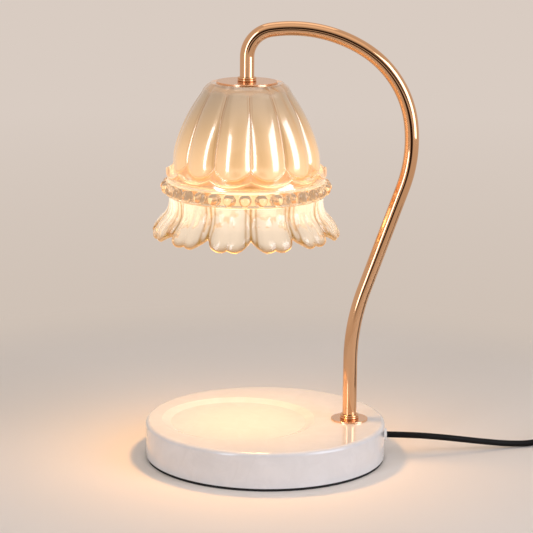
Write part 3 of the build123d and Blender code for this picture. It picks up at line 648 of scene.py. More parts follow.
# Pressed glass with a cold mirror inside: its back lets a warm glow through.
LIT_REFLECTOR = LitGlass(
    "reflector_glass_lit",
    "#F4E6CE",
    "#EBD9BB",
    roughness=0.15,
    coat=1.0,
    glow="#FFE9CC",
    strength=1.3,
    grain_mm=3.0,
    grain_height=0.06,
)
# Dimpled front lens in front of the filament: bright, without a sharp image of it.
LIT_LENS = LitGlass(
    "lens_glass_lit",
    "#FFF3DC",
    "#FFE9C4",
    roughness=0.3,
    strength=8.0,
    grain_mm=2.0,
    grain_height=0.1,
)
# Quartz capsule round the filament: the brightest and whitest point.
LIT_CAPSULE = LitGlass(
    "quartz_capsule_lit", "#FFF6E6", roughness=0.2, glow="#FFE3B8", strength=12.0, grain_mm=2.0
)
# Nylon, moulded and left uncoloured: milky, half glossy.
NYLON = Finish(
    "nylon_moulded_natural", "#ECEAE6", "#E2DFDA", roughness=0.35, grain_mm=0.8, grain_height=0.01
)
# PVC sheath, extruded: soft black with a low sheen and faint ripples along it.
PVC = Finish(
    "pvc_sheath_extruded",
    "#0E0D0D",
    "#131212",
    roughness=0.5,
    specular=0.12,
    roughness_drift=0.06,
    grain_mm=0.9,
    grain_height=0.03,
    tone_mm=22.0,
)
# ABS moulded against spark-eroded steel: black with an even, fine grit.
ABS = Finish(
    "abs_spark_textured",
    "#1C1B1B",
    "#232221",
    roughness=0.48,
    grain_mm=0.35,
    grain_height=0.05,
    tone_mm=18.0,
)
# ABS moulded against a polished face: a smoother black than the housing round it.
DIAL_ABS = Finish(
    "abs_dial_polished",
    "#242322",
    "#2B2A29",
    roughness=0.3,
    grain_mm=0.6,
    grain_height=0.01,
    tone_mm=9.0,
)
# Thin PVC skin on the wires: pale, half glossy.
WIRE = Finish("pvc_wire_skin", "#D9D5CC", "#CFCABF", roughness=0.4, grain_mm=0.8, grain_height=0.01)
# Glass-fibre laminate under solder resist: green with the cloth's faint mottle.
LAMINATE = Finish(
    "fr4_laminate", "#2E6B43", "#3C7B50", roughness=0.35, coat=0.4, grain_mm=1.1, tone_mm=2.5
)
# Epoxy, transfer moulded: blue-black, dull.
RESIN = Finish("epoxy_case_moulded", "#2A2A2E", "#343439", roughness=0.4, grain_mm=0.6, tone_mm=5.0)
# Nylon hook-and-loop tape, woven: black threads with a soft sheen on their nap.
TAPE = WovenTape(
    "nylon_hook_loop_tape", "#1B1A1A", "#262424", roughness=0.85, sheen=0.4, grain_mm=0.5
)


# ------------------------------------------------------------------ base
@dataclass
class Base:
    """The marble slab with its foam pad, and the cord's way out."""

    def build(self) -> None:
        """Dresses the slab, its pad and its fittings."""
        dress(MARBLE.material(), "marble_base")
        dress(FOAM.material(), "base_pad")
        dress(NYLON.material(), "cord_grommet", "cord_stop")


# ------------------------------------------------------------------ arm
@dataclass
class Arm:
    """The bent tube, its collars, plates and nuts, and the wires inside it.

    A run of the tube is a length with no turn, or a bend's radius with its turn in degrees.
    """

    foot: Pair = (59.7, 12.0)
    radius: float = 5.0
    bore: float = 4.0
    columns: int = 72
    spacing: float = 1.5
    runs: Pairs = (
        (58.2, 0.0),
        (155.0, -19.34),
        (77.7, 0.0),
        (98.9, 26.07),
        (70.85, 51.5),
        (94.9, 40.79),
        (19.0, 80.98),
        (30.9, 0.0),
    )

    def line(self) -> tuple[Array, Array]:
        """The centreline's points in XZ and its heading at each.

        A straight run's step is its length over its steps. A bend's is a chord, twice the radius
        times the sine of half the step's turn, headed midway between its ends.

        Returns:
            The points, and the headings in radians from the X axis.
        """
        size, turn = np.array(self.runs).T
        turn = np.radians(turn)
        length = np.where(turn == 0, size, size * np.abs(turn))
        steps = np.ceil(length / self.spacing).astype(int)
        small = np.repeat(turn / steps, steps)
        straight = np.repeat(length / steps, steps)
        chord = 2 * np.repeat(size, steps) * np.sin(np.abs(small) / 2)
        step = np.where(small == 0, straight, chord)
        heading = pi / 2 + np.concatenate([[0.0], np.cumsum(small)])
        middle = heading[:-1] + small / 2
        moves = np.stack([step * np.cos(middle), step * np.sin(middle)], -1)
        line = np.array(self.foot) + np.concatenate([np.zeros((1, 2)), np.cumsum(moves, 0)])
        return line, heading

    def tube(self) -> None:
        """Makes the tube: rings square to its line, up the outside and back down the bore.

        A ring's points are its centre, plus the radius times the cosine of the turn across the
        heading and times its sine along Y.
        """
        line, heading = self.line()
        radius = np.repeat((self.radius, self.bore), len(line))[:, None]
        line = np.concatenate([line, line[::-1]])
        heading = np.concatenate([heading, heading[::-1]])[:, None]
        turn = np.linspace(0, 2 * pi, self.columns, endpoint=False)
        out = radius * np.cos(turn)
        points = np.stack(
            [
                line[:, :1] - out * np.sin(heading),
                radius * np.sin(turn),
                line[:, 1:] + out * np.cos(heading),
            ],
            -1,
        )
        piece = make_piece("bent_tube", points, ROSE_TUBE.material(), "stand")
        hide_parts("arm_tube")

    def build(self) -> None:
        """Makes the tube and dresses the arm's CAD nodes."""
        self.tube()
        dress(ROSE_TUBE.material(), "foot_collar", "head_collar")
        dress(ROSE_SATIN.material(), "foot_flange", "shade_disc")
        dress(
            ZINC.material(),
            "foot_washer",
            "foot_lock_washer",
            "foot_nut",
            "shade_washer",
            "head_nut",
            "holder_bracket",
            "holder_screws",
        )
        dress(SILICONE.material(), "upper_gasket", "lower_gasket")
        dress(WIRE.material(), "arm_wires")


# ------------------------------------------------------------------ glass shade
@dataclass
class Skin:
    """Rows of a closed surface round the shade's axis, with what each point tells its material."""

    columns: int
    usual: dict[Mark, float]
    rows: list[Array] = field(default_factory=list)

    def add(self, radius: Any, height: Any, **marks: Any) -> None:
        """Adds one row, or several.

        Args:
            radius: Distance from the axis: a number, or a grid of rows and columns.
            height: Height: a number, a column of rows or a grid.
            marks: Marks by name, each shaped as height is, where they aren't the usual ones.
        """
        values = [marks.get(mark.value, value) for mark, value in self.usual.items()]
        wide = np.atleast_2d(radius * np.ones(self.columns))
        self.rows.append(np.stack(np.broadcast_arrays(wide, height, *values)))

    def grids(self) -> tuple[Array, Array, dict[Mark, Array]]:
        """All rows as one grid of radii, one of heights and one for each mark."""
        radius, height, *marks = np.concatenate(self.rows, 1)
        return radius, height, dict(zip(self.usual, marks))


@dataclass
class GlassShade:
    """The pressed glass: a dome of petals on a scalloped collar, a row of beads, a flared skirt.

    Levels are heights above the table, and everything else is a size. u is the share of the way
    from a petal's or lobe's crown, 0, to its seam, 1.
    """

    columns: int = 576
    top: float = 267.8
    ceiling: float = 263.8
    parting: float = 200.5
    hole_radius: float = 5.25
    seat_radius: float = 18.0
    seat_depth: float = 0.8
    shoulder_drop: float = 0.3
    shoulder_insets: Pair = (0.9, 0.35)
    # Petals
    crowns: Pairs = (
        (0.0, 25.2),
        (1.6, 27.6),
        (8.1, 32.3),
        (16.5, 37.9),
        (27.0, 43.6),
        (37.7, 48.1),
        (48.2, 51.1),
        (63.6, 51.7),
    )
    petal_steps: int = 74
    crowding: float = 0.55
    crowding_power: float = 2.2
    swell: Pair = (0.028, 0.047)
    swell_span: Pair = (4.0, 46.0)
    swell_power: float = 2.3
    groove_depth: float = 0.3
    groove_width: float = 0.6
    groove_span: Pair = (2.0, 30.0)
    tip: float = 207.0
    tip_rise: float = 7.0
    tip_radius: float = 51.8
    tip_round: float = 3.4
    ledge_radius: float = 50.0
    ledge_draw: float = 1.2
    slope_radius: float = 51.0
    seam_width: float = 0.4
    seam_step: float = 1.5
    pearl_edge: Pair = (0.2, 1.4)
    pearl_start: Pair = (2.6, 5.2)
    pearl_arch: float = 1.8
    pearl_least: float = 0.25
    pearl_inside: Pair = (200.0, 203.0)
    # Painted glow of the bulb's light on the petals: its least and added strength, and where it
    # grows.
    painted_petal_glow: Pair = (0.05, 0.33)
    painted_glow_span: Pair = (10.0, 58.0)
    # Collar and belt
    rim: float = 202.4
    rim_rise: float = 4.2
    rim_radius: float = 55.9
    rim_back: Pair = (53.9, 0.15)
    lip: float = 1.0
    lip_steps: int = 9
    lip_turn: Pair = (75.0, -90.0)
    # Where the painted highlight line on the rim is turned to, and how wide it is, in degrees.
    painted_highlight_turn: float = 35.0
    painted_highlight_width: float = 22.0
    collar_steps: int = 26
    collar_start: float = 0.06
    collar_inset: float = 1.5
    collar_power: float = 1.35
    rib_height: float = 0.4
    rib_drop: float = 2.0
    rib_width: float = 0.55
    belt_steps: int = 8
    belt_start: float = 0.1
    belt_tuck: float = 0.2
    belt_gap: float = 0.5
    belt_radius: float = 53.0
    belt_flare: float = 0.6
    belt_foot: Pairs = ((53.5, 0.15), (53.7, 0.0))
    # Inside of the dome
    bore: Pairs = (
        (200.5, 46.8),
        (219.6, 43.7),
        (230.1, 40.9),
        (240.8, 36.7),
        (251.3, 31.5),
        (259.7, 26.3),
        (263.8, 22.0),
    )
    bore_steps: int = 34
    bore_lip: float = 0.2
    ceiling_corner: Pair = (0.8, 0.6)
    # Band of beads
    beads: int = 32
    bead_level: float = 195.0
    bead_radius: float = 4.3
    bead_ring: float = 55.4
    bead_reach: float = 3.75
    bead_lead: float = 1.5
    bead_steps: int = 30
    band_radius: float = 54.8
    band_top: Pairs = ((53.7, 200.5), (54.4, 200.45), (55.0, 200.2), (55.2, 199.7), (55.0, 199.2))
    band_foot: Pairs = ((55.8, 190.8), (56.1, 190.3), (55.7, 189.8), (54.8, 189.5))
    band_bore: Pairs = ((189.2, 50.9), (192.0, 50.6), (196.0, 49.2), (200.5, 46.8))
    # Skirt
    skirt_top: float = 189.2
    skirt_sections: Triples = (
        (160.0, 65.0, 59.4),
        (166.0, 64.4, 58.8),
        (170.5, 61.6, 57.2),
        (177.0, 55.9, 53.4),
        (183.5, 53.9, 52.7),
        (190.0, 54.2, 53.8),
    )
    skirt_steps: int = 56
    band_bore_steps: int = 10
    band_bore_ends: Pair = (1.0, 0.3)
    edge_steps: int = 11
    skirt_low: float = 160.4
    skirt_rise: float = 6.9
    skirt_rise_power: float = 1.45
    skirt_wall: float = 3.2
    fold_from: float = 0.58
    fold_rib: float = 0.76
    fold_rib_height: float = 0.55
    fold_rib_width: float = 0.05
    half_lobe: float = 0.36
    half_lobe_width: float = 0.3
    half_lobe_height: float = 0.35
    crease_depth: float = 0.8
    crease_width: float = 0.1
    crease_rise: float = 1.1
    crease_notch: float = 0.13
    grown_span: Pair = (1.0, 14.0)
    roll_height: float = 0.5
    roll_rise: float = 2.4
    roll_width: float = 1.2
    ripple_depth: float = 0.3
    ripples: int = 3
    ripple_span: Pair = (2.0, 12.0)
    inner_fold: float = 0.9
    inner_crease: float = 0.25
    edge_blend: Pair = (0.5, 5.0)
    edge_amber: Pair = (3.4, 2.6)
    fold_amber: Pair = (0.055, 0.07)
    lobe_middle: Pair = (0.35, 0.7)
    # The painted glow of the bulb's light on the skirt: its level, its reach, and its least and
    # added strength.
    glow_level: float = 187.0
    glow_reach: float = 11.0
    glow: Pair = (0.07, 0.17)

    def across(self) -> Array:
        """Where each column lies across its petal: -1 and 1 at the seams, 0 at the crown."""
        share = np.arange(self.columns) * PETALS / self.columns
        return (share % 1) * 2 - 1

    def scallop(self, low: float, rise: float, radius: float) -> Array:
        """Height of a scalloped edge: in each petal one circle's arc, low at the crown.

        The arc spans the petal's chord, half of which is radius times sine of 15 degrees, and
        rises to the seams; its own radius is half chord squared plus rise squared, over twice
        the rise.

        Args:
            low: Height at the crowns.
            rise: How much higher the seams are.
            radius: Distance of the edge from the axis.

        Returns:
            One height for each column.
        """
        half = radius * sin(pi / PETALS)
        arc = (half**2 + rise**2) / (2 * rise)
        return low + arc - np.sqrt(arc**2 - (self.across() * half) ** 2)

    def place(self, radius: Array, height: Array) -> Array:
        """Points from radius and height grids, turned about the shade's axis from a seam on.

        Args:
            radius: Distances from the axis.
            height: Heights.

        Returns:
            The points, in a grid that ends in 3.
        """
        turn = radians(SEAM_PHASE) + np.linspace(0, 2 * pi, self.columns, endpoint=False)
        radius, height = np.broadcast_arrays(radius, height)
        x = SHADE_X + radius * np.cos(turn)
        return np.stack([x, radius * np.sin(turn), height], -1)

    def petal_radius(self, height: Array) -> Array:
        """The petals' outside: the crown's radius, less a swell that deepens downwards.

        The swell grows with the 2.3rd power of u, and a narrow bell of 0.6 mm cuts the seam's
        groove.

        Args:
            height: Heights, as a column of rows or a grid.

        Returns:
            The radius at each height and column.
        """
        u = np.abs(self.across())
        below = self.top - height
        drop, crown = np.array(self.crowns).T
        radius = hermite(below, drop, crown)
        depth = self.swell[0] + self.swell[1] * smooth_step(below, *self.swell_span)
        from_seam = (1 - u) * radius * pi / PETALS
        groove = self.groove_depth * smooth_step(below, *self.groove_span)
        groove = groove * bell(from_seam, 0.0, self.groove_width)
        return radius * (1 - depth * u**self.swell_power) - groove

    def top_rows(self, skin: Skin) -> None:
        """The top plate: the tube's hole, the disc's sunken seat and the rounded shoulder.

        Args:
            skin: Gets the rows.
        """
        seat = self.top - self.seat_depth
        for radius, height in (
            (self.hole_radius, seat),
            (self.seat_radius, seat),
            (self.seat_radius, self.top),
        ):
            skin.add(radius, height, amber=0.3)
        shoulder = self.petal_radius(np.full((1, 1), self.top - self.shoulder_drop))
        for inset in self.shoulder_insets:
            skin.add(shoulder - inset, self.top, amber=0.2)

    def ledge(self) -> Array:
        """Radius of the ledge that the petals' tips end on, drawn in a little at the seams."""
        return self.ledge_radius - self.ledge_draw * self.across() ** 2

    def petal_rows(self, skin: Skin, tip: Array) -> None:
        """The petals, from the shoulder down to their scalloped tips.

        Rows crowd towards the tip. The lower end falls back to the ledge along a quarter ellipse
        of the distance above the tip, which is measured square to the scallop. The seam mark is
        a line on the petal's border and a fainter one beside it. The pearl starts at the border
        and fades out in an arch at the top, and a painted glow, for the bulb's light, grows down
        the petal.

        Args:
            skin: Gets the rows.
            tip: Height of the tips at each column.
        """
        u = np.abs(self.across())
        way = np.linspace(0, 1, self.petal_steps)[:, None]
        way = (1 - self.crowding) * way + self.crowding * (1 - (1 - way) ** self.crowding_power)
        shoulder = self.top - self.shoulder_drop
        height = shoulder + (tip - shoulder) * way
        petal, ledge = self.petal_radius(height), self.ledge()
        slope = np.gradient(tip) / (2 * pi * self.slope_radius / self.columns)
        above = (height - tip) / np.sqrt(1 + slope**2)
        ending = np.sqrt(1 - (1 - np.clip(above / self.tip_round, 0, 1)) ** 2)
        from_seam = (1 - u) * petal * pi / PETALS
        border = np.minimum(from_seam, above + self.seam_width)
        line = bell(border, 0.0, self.seam_width)
        line = line + 0.5 * bell(border, self.seam_step, self.seam_width)
        below = self.top - height
        arch = smooth_step(below - self.pearl_arch * u**2, *self.pearl_start)
        fade = self.pearl_least + (1 - self.pearl_least) * arch
        skin.add(
            ledge + (petal - ledge) * ending,
            height,
            pearl=smooth_step(above, *self.pearl_edge) * fade,
            seam=np.clip(line, 0, 1),
            amber=0.35,
            lit=self.painted_petal_glow[0] + self.painted_petal_glow[1] * smooth_step(below, *self.painted_glow_span),
        )

    def collar_rows(self, skin: Skin, tip: Array, rim: Array) -> None:
        """The collar, from the petals' tips to the back of its rounded, scalloped rim.

        It flares with the 1.35th power of the way down, one thin rib follows the tips, and the
        rim is turned from 75 degrees above level to straight down. The rim's lit mark is a
        painted glow with a painted highlight line along its upper side.

        Args:
            skin: Gets the rows.
            tip: Height of the tips at each column.
            rim: Height of the rim's underside at each column.
        """
        way = np.linspace(self.collar_start, 1, self.collar_steps)[:, None]
        height = tip + (rim + 2 * self.lip - tip) * way
        rib = self.rib_height * bell(tip - height, self.rib_drop, self.rib_width)
        ledge = self.ledge()
        flare = (self.rim_radius - self.collar_inset - ledge) * way**self.collar_power
        skin.add(ledge + flare + rib, height, amber=0.2 + 0.3 * way)
        first, last = self.lip_turn
        turn = np.linspace(radians(first), radians(last), self.lip_steps)[:, None]
        # The lit mark paints a faint glow on the rim and a highlight line along its upper side.
        skin.add(
            self.rim_radius - self.lip + self.lip * np.cos(turn),
            rim + self.lip + self.lip * np.sin(turn),
            amber=0.25,
            lit=0.12 + 0.5 * bell(turn, radians(self.painted_highlight_turn), radians(self.painted_highlight_width)),
        )
        radius, lift = self.rim_back
        skin.add(radius, rim + lift, amber=0.4)

    def belt_rows(self, skin: Skin, rim: Array) -> None:
        """The belt behind the rim: it flares with the square of the way down to the parting.

        Args:
            skin: Gets the rows.
            rim: Height of the rim's underside at each column.
        """
        way = np.linspace(self.belt_start, 1, self.belt_steps)[:, None]
        high, low = rim - self.belt_tuck, self.parting + self.belt_gap
        height = high + (low - high) * way
        skin.add(self.belt_radius + self.belt_flare * way**2, height, amber=0.6)
        # The rows at the parting get a painted glow that hides the dark line seen through the join.
        for radius, above in self.belt_foot:
            skin.add(radius, self.parting + above, amber=0.1, lit=0.3)

    def bore_rows(self, skin: Skin) -> None:
        """The inside of the dome, back up from the parting to the ceiling round the tube's hole.

        Args:
            skin: Gets the rows.
        """
        level, radius = np.array(self.bore).T
        inward, down = self.ceiling_corner
        # The inside gets a painted glow for the bulb's light, stronger at the parting to hide the
        # dark line seen through the join.
        skin.add(radius[0] + self.bore_lip, self.parting, amber=0.1, lit=0.3)
        low, high = self.parting + self.bore_lip, self.ceiling - down
        wall = np.linspace(low, high, self.bore_steps)[:, None]
        pearl = smooth_step(wall, *self.pearl_inside)
        skin.add(hermite(wall, level, radius), wall, pearl=pearl, amber=0.3, lit=0.3)
        skin.add(radius[-1] - inward, self.ceiling, pearl=1.0)
        skin.add(self.hole_radius, self.ceiling, pearl=0.6)

    def dome_grid(self) -> tuple[Array, dict[Mark, Array]]:
        """The dome's closed skin, row by row: top plate, petals, collar, belt, and back up inside.

        Returns:
            The points and their marks.
        """
        # Every point gets a faint painted glow for the bulb's light unless its rows give more.
        skin = Skin(self.columns, {Mark.PEARL: 0.0, Mark.SEAM: 0.0, Mark.AMBER: 0.0, Mark.LIT: 0.1})
        tip = self.scallop(self.tip, self.tip_rise, self.tip_radius)
        rim = self.scallop(self.rim, self.rim_rise, self.rim_radius)
        self.top_rows(skin)
        self.petal_rows(skin, tip)
        self.collar_rows(skin, tip, rim)
        self.belt_rows(skin, rim)
        self.bore_rows(skin)
        radius, height, marks = skin.grids()
        return self.place(radius, height), marks

    def skirt_radius(self, height: Array, folding: float, creasing: float) -> Array:
        """The skirt's surface: crown radius, drawn in to the seam's radius at each fold.

        The fold is a smooth step from 58% of the way across a lobe, and a thin rib bounds it. A
        narrow bell makes the crease down the lobe's middle, between two low swells.

        Args:
            height: Heights, as a grid.
            folding: Share of the fold's depth.
            creasing: Share of the relief of crease, swells and ribs.

        Returns:
            The radius at each height and column.
        """
        u = np.abs(self.across())
        level, crown, seam = np.array(self.skirt_sections).T
        outer, inner = hermite(height, level, crown), hermite(height, level, seam)
        grown = smooth_step(self.skirt_top - height, *self.grown_span)
        fold = smooth_step(u, self.fold_from, 1.0)
        crease = self.crease_depth * bell(u, 0.0, self.crease_width)
        swells = 1 - smooth_step(np.abs(u - self.half_lobe), 0.0, self.half_lobe_width)
        rib = self.fold_rib_height * bell(u, self.fold_rib, self.fold_rib_width)
        relief = rib + self.half_lobe_height * swells - crease
        return outer - (outer - inner) * fold * folding + relief * grown * creasing

    def skirt_edge(self) -> Array:
        """Height of the skirt's lower edge: two shallow scallops a lobe, a notch between lobes.

        Past the middle of a half lobe it rises with the 1.45th power of the way to the seam, and
        a narrow bell lifts it at the crown.

        Returns:
            One height for each column.
        """
        u = np.abs(self.across())
        past = np.clip((u - self.half_lobe) / (1 - self.half_lobe), 0, 1)
        notch = self.skirt_rise * past**self.skirt_rise_power
        return self.skirt_low + notch + self.crease_rise * bell(u, 0.0, self.crease_notch)

    def bead_rows(self, heights: Array) -> Array:
        """The band's radius, raised to each bead's sphere; one bead faces the front.

        A sphere stands out by the root of its radius squared less the squares of the distances
        up and along the band, which are measured at the beads' middle surface.

        Args:
            heights: A column of heights.

        Returns:
            The radius at each height and column.
        """
        turn = np.arange(self.columns) * 2 * pi / self.columns + radians(SEAM_PHASE - FRONT)
        step = 2 * pi / self.beads
        along = ((turn / step + 0.5) % 1 - 0.5) * step * (self.bead_ring + self.bead_lead)
        left = self.bead_radius**2 - (heights - self.bead_level) ** 2 - along**2
        sphere = self.bead_ring + np.sqrt(np.clip(left, 0, None))
        return np.where(left > 0, sphere, self.band_radius)

    def band_rows(self, skin: Skin) -> None:
        """The parting plane, the rounded shoulder, the beads and the roll below them.

        Args:
            skin: Gets the rows.
        """
        # The parting and the band's top get a painted glow that hides the dark line seen through
        # the join.
        skin.add(self.band_bore[-1][1] + self.bore_lip, self.parting, amber=0.1, lit=0.3)
        for radius, height in self.band_top:
            skin.add(radius, height, amber=0.1, lit=0.25)
        high, low = self.bead_level + self.bead_reach, self.bead_level - self.bead_reach
        level = np.linspace(high, low, self.bead_steps)[:, None]
        skin.add(self.bead_rows(level), level, amber=0.6)
        for radius, height in self.band_foot:
            skin.add(radius, height, amber=0.45)

    def skirt_rows(self, skin: Skin) -> None:
        """The skirt: its outside, the rounded edge and the inside, back up to the band's bore.

        A rolled edge follows the lower border outside. Inside, cosine ripples run down the wall,
        and the surface blends into the outside less the wall's thickness near the edge. Amber
        gathers at the edge, in the folds and on their ribs, and a painted glow stands in for the
        bulb's light, in a bell round its own level and in the middle of each lobe.

        Args:
            skin: Gets the rows.
        """
        u, edge, half = np.abs(self.across()), self.skirt_edge(), self.skirt_wall / 2
        way = np.linspace(0, 1, self.skirt_steps)[:, None]
        height = self.skirt_top + (edge + half - self.skirt_top) * way
        rolled = bell(height - edge, self.roll_rise, self.roll_width)
        outside = self.skirt_radius(height, 1.0, 1.0) + self.roll_height * rolled
        near = bell(height, edge, self.edge_amber[0])
        rib, seam = self.fold_amber
        folds = 0.75 * bell(u, self.fold_rib, rib) + 0.95 * bell(u, 1.0, seam)
        # Painted glow for the bulb's light, round its level and in each lobe's middle.
        glow = self.glow[0] + self.glow[1] * bell(height, self.glow_level, self.glow_reach)
        middle = 0.09 * (1 - smooth_step(u, *self.lobe_middle))
        amber = np.clip(0.06 + 0.95 * near + folds, 0, 1)
        skin.add(outside, height, amber=amber, lit=glow + middle)

        # The rounded edge gets a painted glow too.
        turn = np.linspace(0, pi, self.edge_steps)[1:-1, None]
        radius = outside[-1] - half + half * np.cos(turn)
        skin.add(radius, edge + half - half * np.sin(turn), amber=0.8, lit=0.3)

        height, glow = height[::-1], glow[::-1]
        ripples = self.ripple_depth * np.cos(self.ripples * pi * self.across())
        ripples = ripples * smooth_step(self.skirt_top - height, *self.ripple_span)
        inside = self.skirt_radius(height, self.inner_fold, self.inner_crease)
        inside = inside - self.skirt_wall - ripples
        blend = smooth_step(height - edge, *self.edge_blend)
        inside = (outside[-1] - self.skirt_wall) * (1 - blend) + inside * blend
        near = bell(height, edge, self.edge_amber[1])
        skin.add(inside, height, amber=0.06 + 0.7 * near, lit=glow)

    def skirt_grid(self) -> tuple[Array, dict[Mark, Array]]:
        """The skirt's closed skin: parting plane, bead band, outside, rounded edge, inside.

        Returns:
            The points and their marks.
        """
        # Every point gets a faint painted glow for the bulb's light unless its rows give more.
        skin = Skin(self.columns, {Mark.AMBER: 0.0, Mark.LIT: 0.06})
        self.band_rows(skin)
        self.skirt_rows(skin)
        level, radius = np.array(self.band_bore).T
        above, below = self.band_bore_ends
        wall = np.linspace(level[0] + above, level[-1] - below, self.band_bore_steps)[:, None]
        skin.add(hermite(wall, level, radius), wall, amber=0.25)
        radius, height, marks = skin.grids()
        return self.place(radius, height), marks

    def build(self) -> None:
        """Makes the two pieces of glass."""
        for name, node, grid, finish in (
            ("shade_dome", "glass_dome", self.dome_grid(), SHADE_DOME),
            ("shade_skirt", "glass_skirt", self.skirt_grid(), SHADE_SKIRT),
        ):
            points, marks = grid
            piece = make_piece(name, points, finish.material(), "stand", marks)
            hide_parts(node)


# ------------------------------------------------------------------ holder and bulb
@dataclass
class HolderAndBulb:
    """The ceramic holder with its contacts, and the lit GU10 bulb."""

    def build(self) -> None:
        """Dresses the holder's and the bulb's CAD nodes."""
        dress(STEATITE.material(), "gu10_holder", "bulb_base")
        dress(BRASS.material(), "holder_contacts", "bulb_pins")
        dress(LIT_REFLECTOR.material(), "bulb_reflector")
        dress(LIT_LENS.material(), "bulb_lens")
        dress(LIT_CAPSULE.material(), "bulb_capsule")


# ------------------------------------------------------------------ lead
@dataclass
class Lead:
    """The cord from the base to the dimmer, and on through a tied coil to the plug.

    The routes are control points. The coil has columns of turns, each given by its radius, and
    column_ends are the turns at which one column stops and the next one starts.
    """

    diameter: float = 4.5
    lamp_route: Triples = (
        (72.6, 0, 16),
        (100, 0, 16),
        (127, 5.5, 12.6),
        (152, 13.6, 7.6),
        (176, 21.6, 3.2),
        (195, 26.4, 2.3),
        (211, 29.5, 7),
        (222, 29.5, 7),
    )
    coil_route: Triples = ((320, 29.5, 7), (330, 29.5, 7), (340.5, 29.5, 3.05), (350.5, 29.5, 3.05))
    plug_route: Triples = (
        (357, -20.7, 20.7),
        (349, -20.7, 20.7),
        (333, -20.7, 16.0),
        (314, -20.7, 8),
        (300, -20.7, 8),
    )
    coil_centre: Pair = (372.5, -0.2)
    coil_north: float = 29.5
    coil_leave: Triple = (367.0, -20.7, 18.2)
    turn_points: int = 12
    turns: float = 9.5
    columns: Triple = (29.7, 25.1, 20.5)
    column_ends: tuple[float, float, float, float] = (3.0, 3.25, 6.25, 6.5)
    low: float = 3.05
    high: float = 16.85
    order: int = 3
    steps: int = 6
    roundness: int = 4

    def coil_points(self) -> Array:
        """Corners around the coil's turns, clockwise from above, starting at its north.

        The corners lie on circles wider than the turns by one over the cosine of half a step,
        so that the smooth line inside them has the turns' radius. Each column of turns rises
        or falls by one pitch a turn, and a quarter turn leads to the next column.

        Returns:
            One point for each corner.
        """
        turn = (np.arange(round(self.turns * self.turn_points)) + 0.5) / self.turn_points
        outer, middle, inner = self.columns
        radius = np.interp(turn, self.column_ends, (outer, middle, middle, inner))
        radius /= cos(pi / self.turn_points)
        ends = (0.0, *self.column_ends, self.turns)
        low, high = self.low, self.high
        height = np.interp(turn, ends, (low, high, high, low, low, high))
        x = self.coil_centre[0] + radius * np.sin(2 * pi * turn)
        y = self.coil_centre[1] + radius * np.cos(2 * pi * turn)
        return np.stack([x, y, height], -1)

    def cord(self, name: str, route: Array) -> bpy.types.Object:
        """A round cord along a smooth NURBS line whose control points are the route's.

        Args:
            name: The piece's name.
            route: Its control points, in millimetres.

        Returns:
            The curve object.
        """
        curve = bpy.data.curves.new(name, "CURVE")
        curve.dimensions = "3D"
        spline = curve.splines.new("NURBS")
        spline.points.add(len(route) - 1)
        weighted = np.concatenate([route * MM, np.ones((len(route), 1))], 1)
        spline.points.foreach_set("co", weighted.ravel())
        spline.order_u = self.order
        spline.use_endpoint_u = True
        curve.resolution_u = self.steps
        curve.bevel_depth = self.diameter / 2 * MM
        curve.bevel_resolution = self.roundness
        curve.use_fill_caps = True
        curve.materials.append(PVC.material())
        made = bpy.data.objects.new(name, curve)
        bpy.context.scene.collection.objects.link(made)
        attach(made, "stand")
        LOG.info("%s: %d control points", name, len(route))
        return made

    def build(self) -> None:
        lamp = self.cord("lamp_cord", np.array(self.lamp_route, float))
        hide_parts("lamp_lead")
        corner = self.coil_centre[0] - self.columns[0] * tan(pi / self.turn_points)
        entry = np.array([(corner, self.coil_north, self.low)])
        leave = np.array([self.coil_leave])
        route = [self.coil_route, entry, self.coil_points(), leave, self.plug_route]
        mains = self.cord("mains_cord", np.concatenate(route))
        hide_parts("coil_lead", "lead_coil", "plug_lead")
        dress(TAPE.material(), "coil_strap")
        dress(PVC.material(), "plug_body")
        dress(BRASS.material(), "plug_blades")


@dataclass
class Dimmer:
    """The rotary dimmer on the lead: two shells, the dial and what they hide."""

    nodes: tuple[str, ...] = (
        "dimmer_lower_shell",
        "dimmer_upper_shell",
        "dimmer_screws",
        "dimmer_board",
        "dimmer_pot",
        "dimmer_components",
        "dimmer_cord_ends",
        "dimmer_wires",
        "dial_shaft",
        "dimmer_dial",
        "dimmer_relief_in",
        "dimmer_relief_out",
    )

    def build(self) -> None:
        """Dresses the dimmer's CAD nodes."""
        dress(ABS.material(), "dimmer_lower_shell", "dimmer_upper_shell")
        dress(DIAL_ABS.material(), "dimmer_dial", "dial_shaft")
        dress(PVC.material(), "dimmer_relief_in", "dimmer_relief_out", "dimmer_cord_ends")
        dress(ZINC.material(), "dimmer_screws")
        dress(LAMINATE.material(), "dimmer_board")
        dress(RESIN.material(), "dimmer_pot", "dimmer_components")
        dress(WIRE.material(), "dimmer_wires")


# ------------------------------------------------------------------ studio
@dataclass(frozen=True)
class SoftLamp:
    """A soft rectangular lamp that the camera doesn't see; places and sizes are in metres."""

    name: str
    place: Triple
    aim: Triple
    size: Pair
    watts: float
    tint: str

    def hang(self) -> None:
        """Makes the lamp and turns it to what it lights."""
        data = bpy.data.lights.new(self.name, "AREA")
        data.shape, data.energy, data.color = "RECTANGLE", self.watts, linear(self.tint)[:3]
        data.size, data.size_y = self.size
        made = bpy.data.objects.new(self.name, data)
        made.location = self.place
        facing = Vector(self.aim) - Vector(self.place)
        made.rotation_euler = facing.to_track_quat("-Z", "Y").to_euler()
        made.visible_camera = False
        bpy.context.scene.collection.objects.link(made)


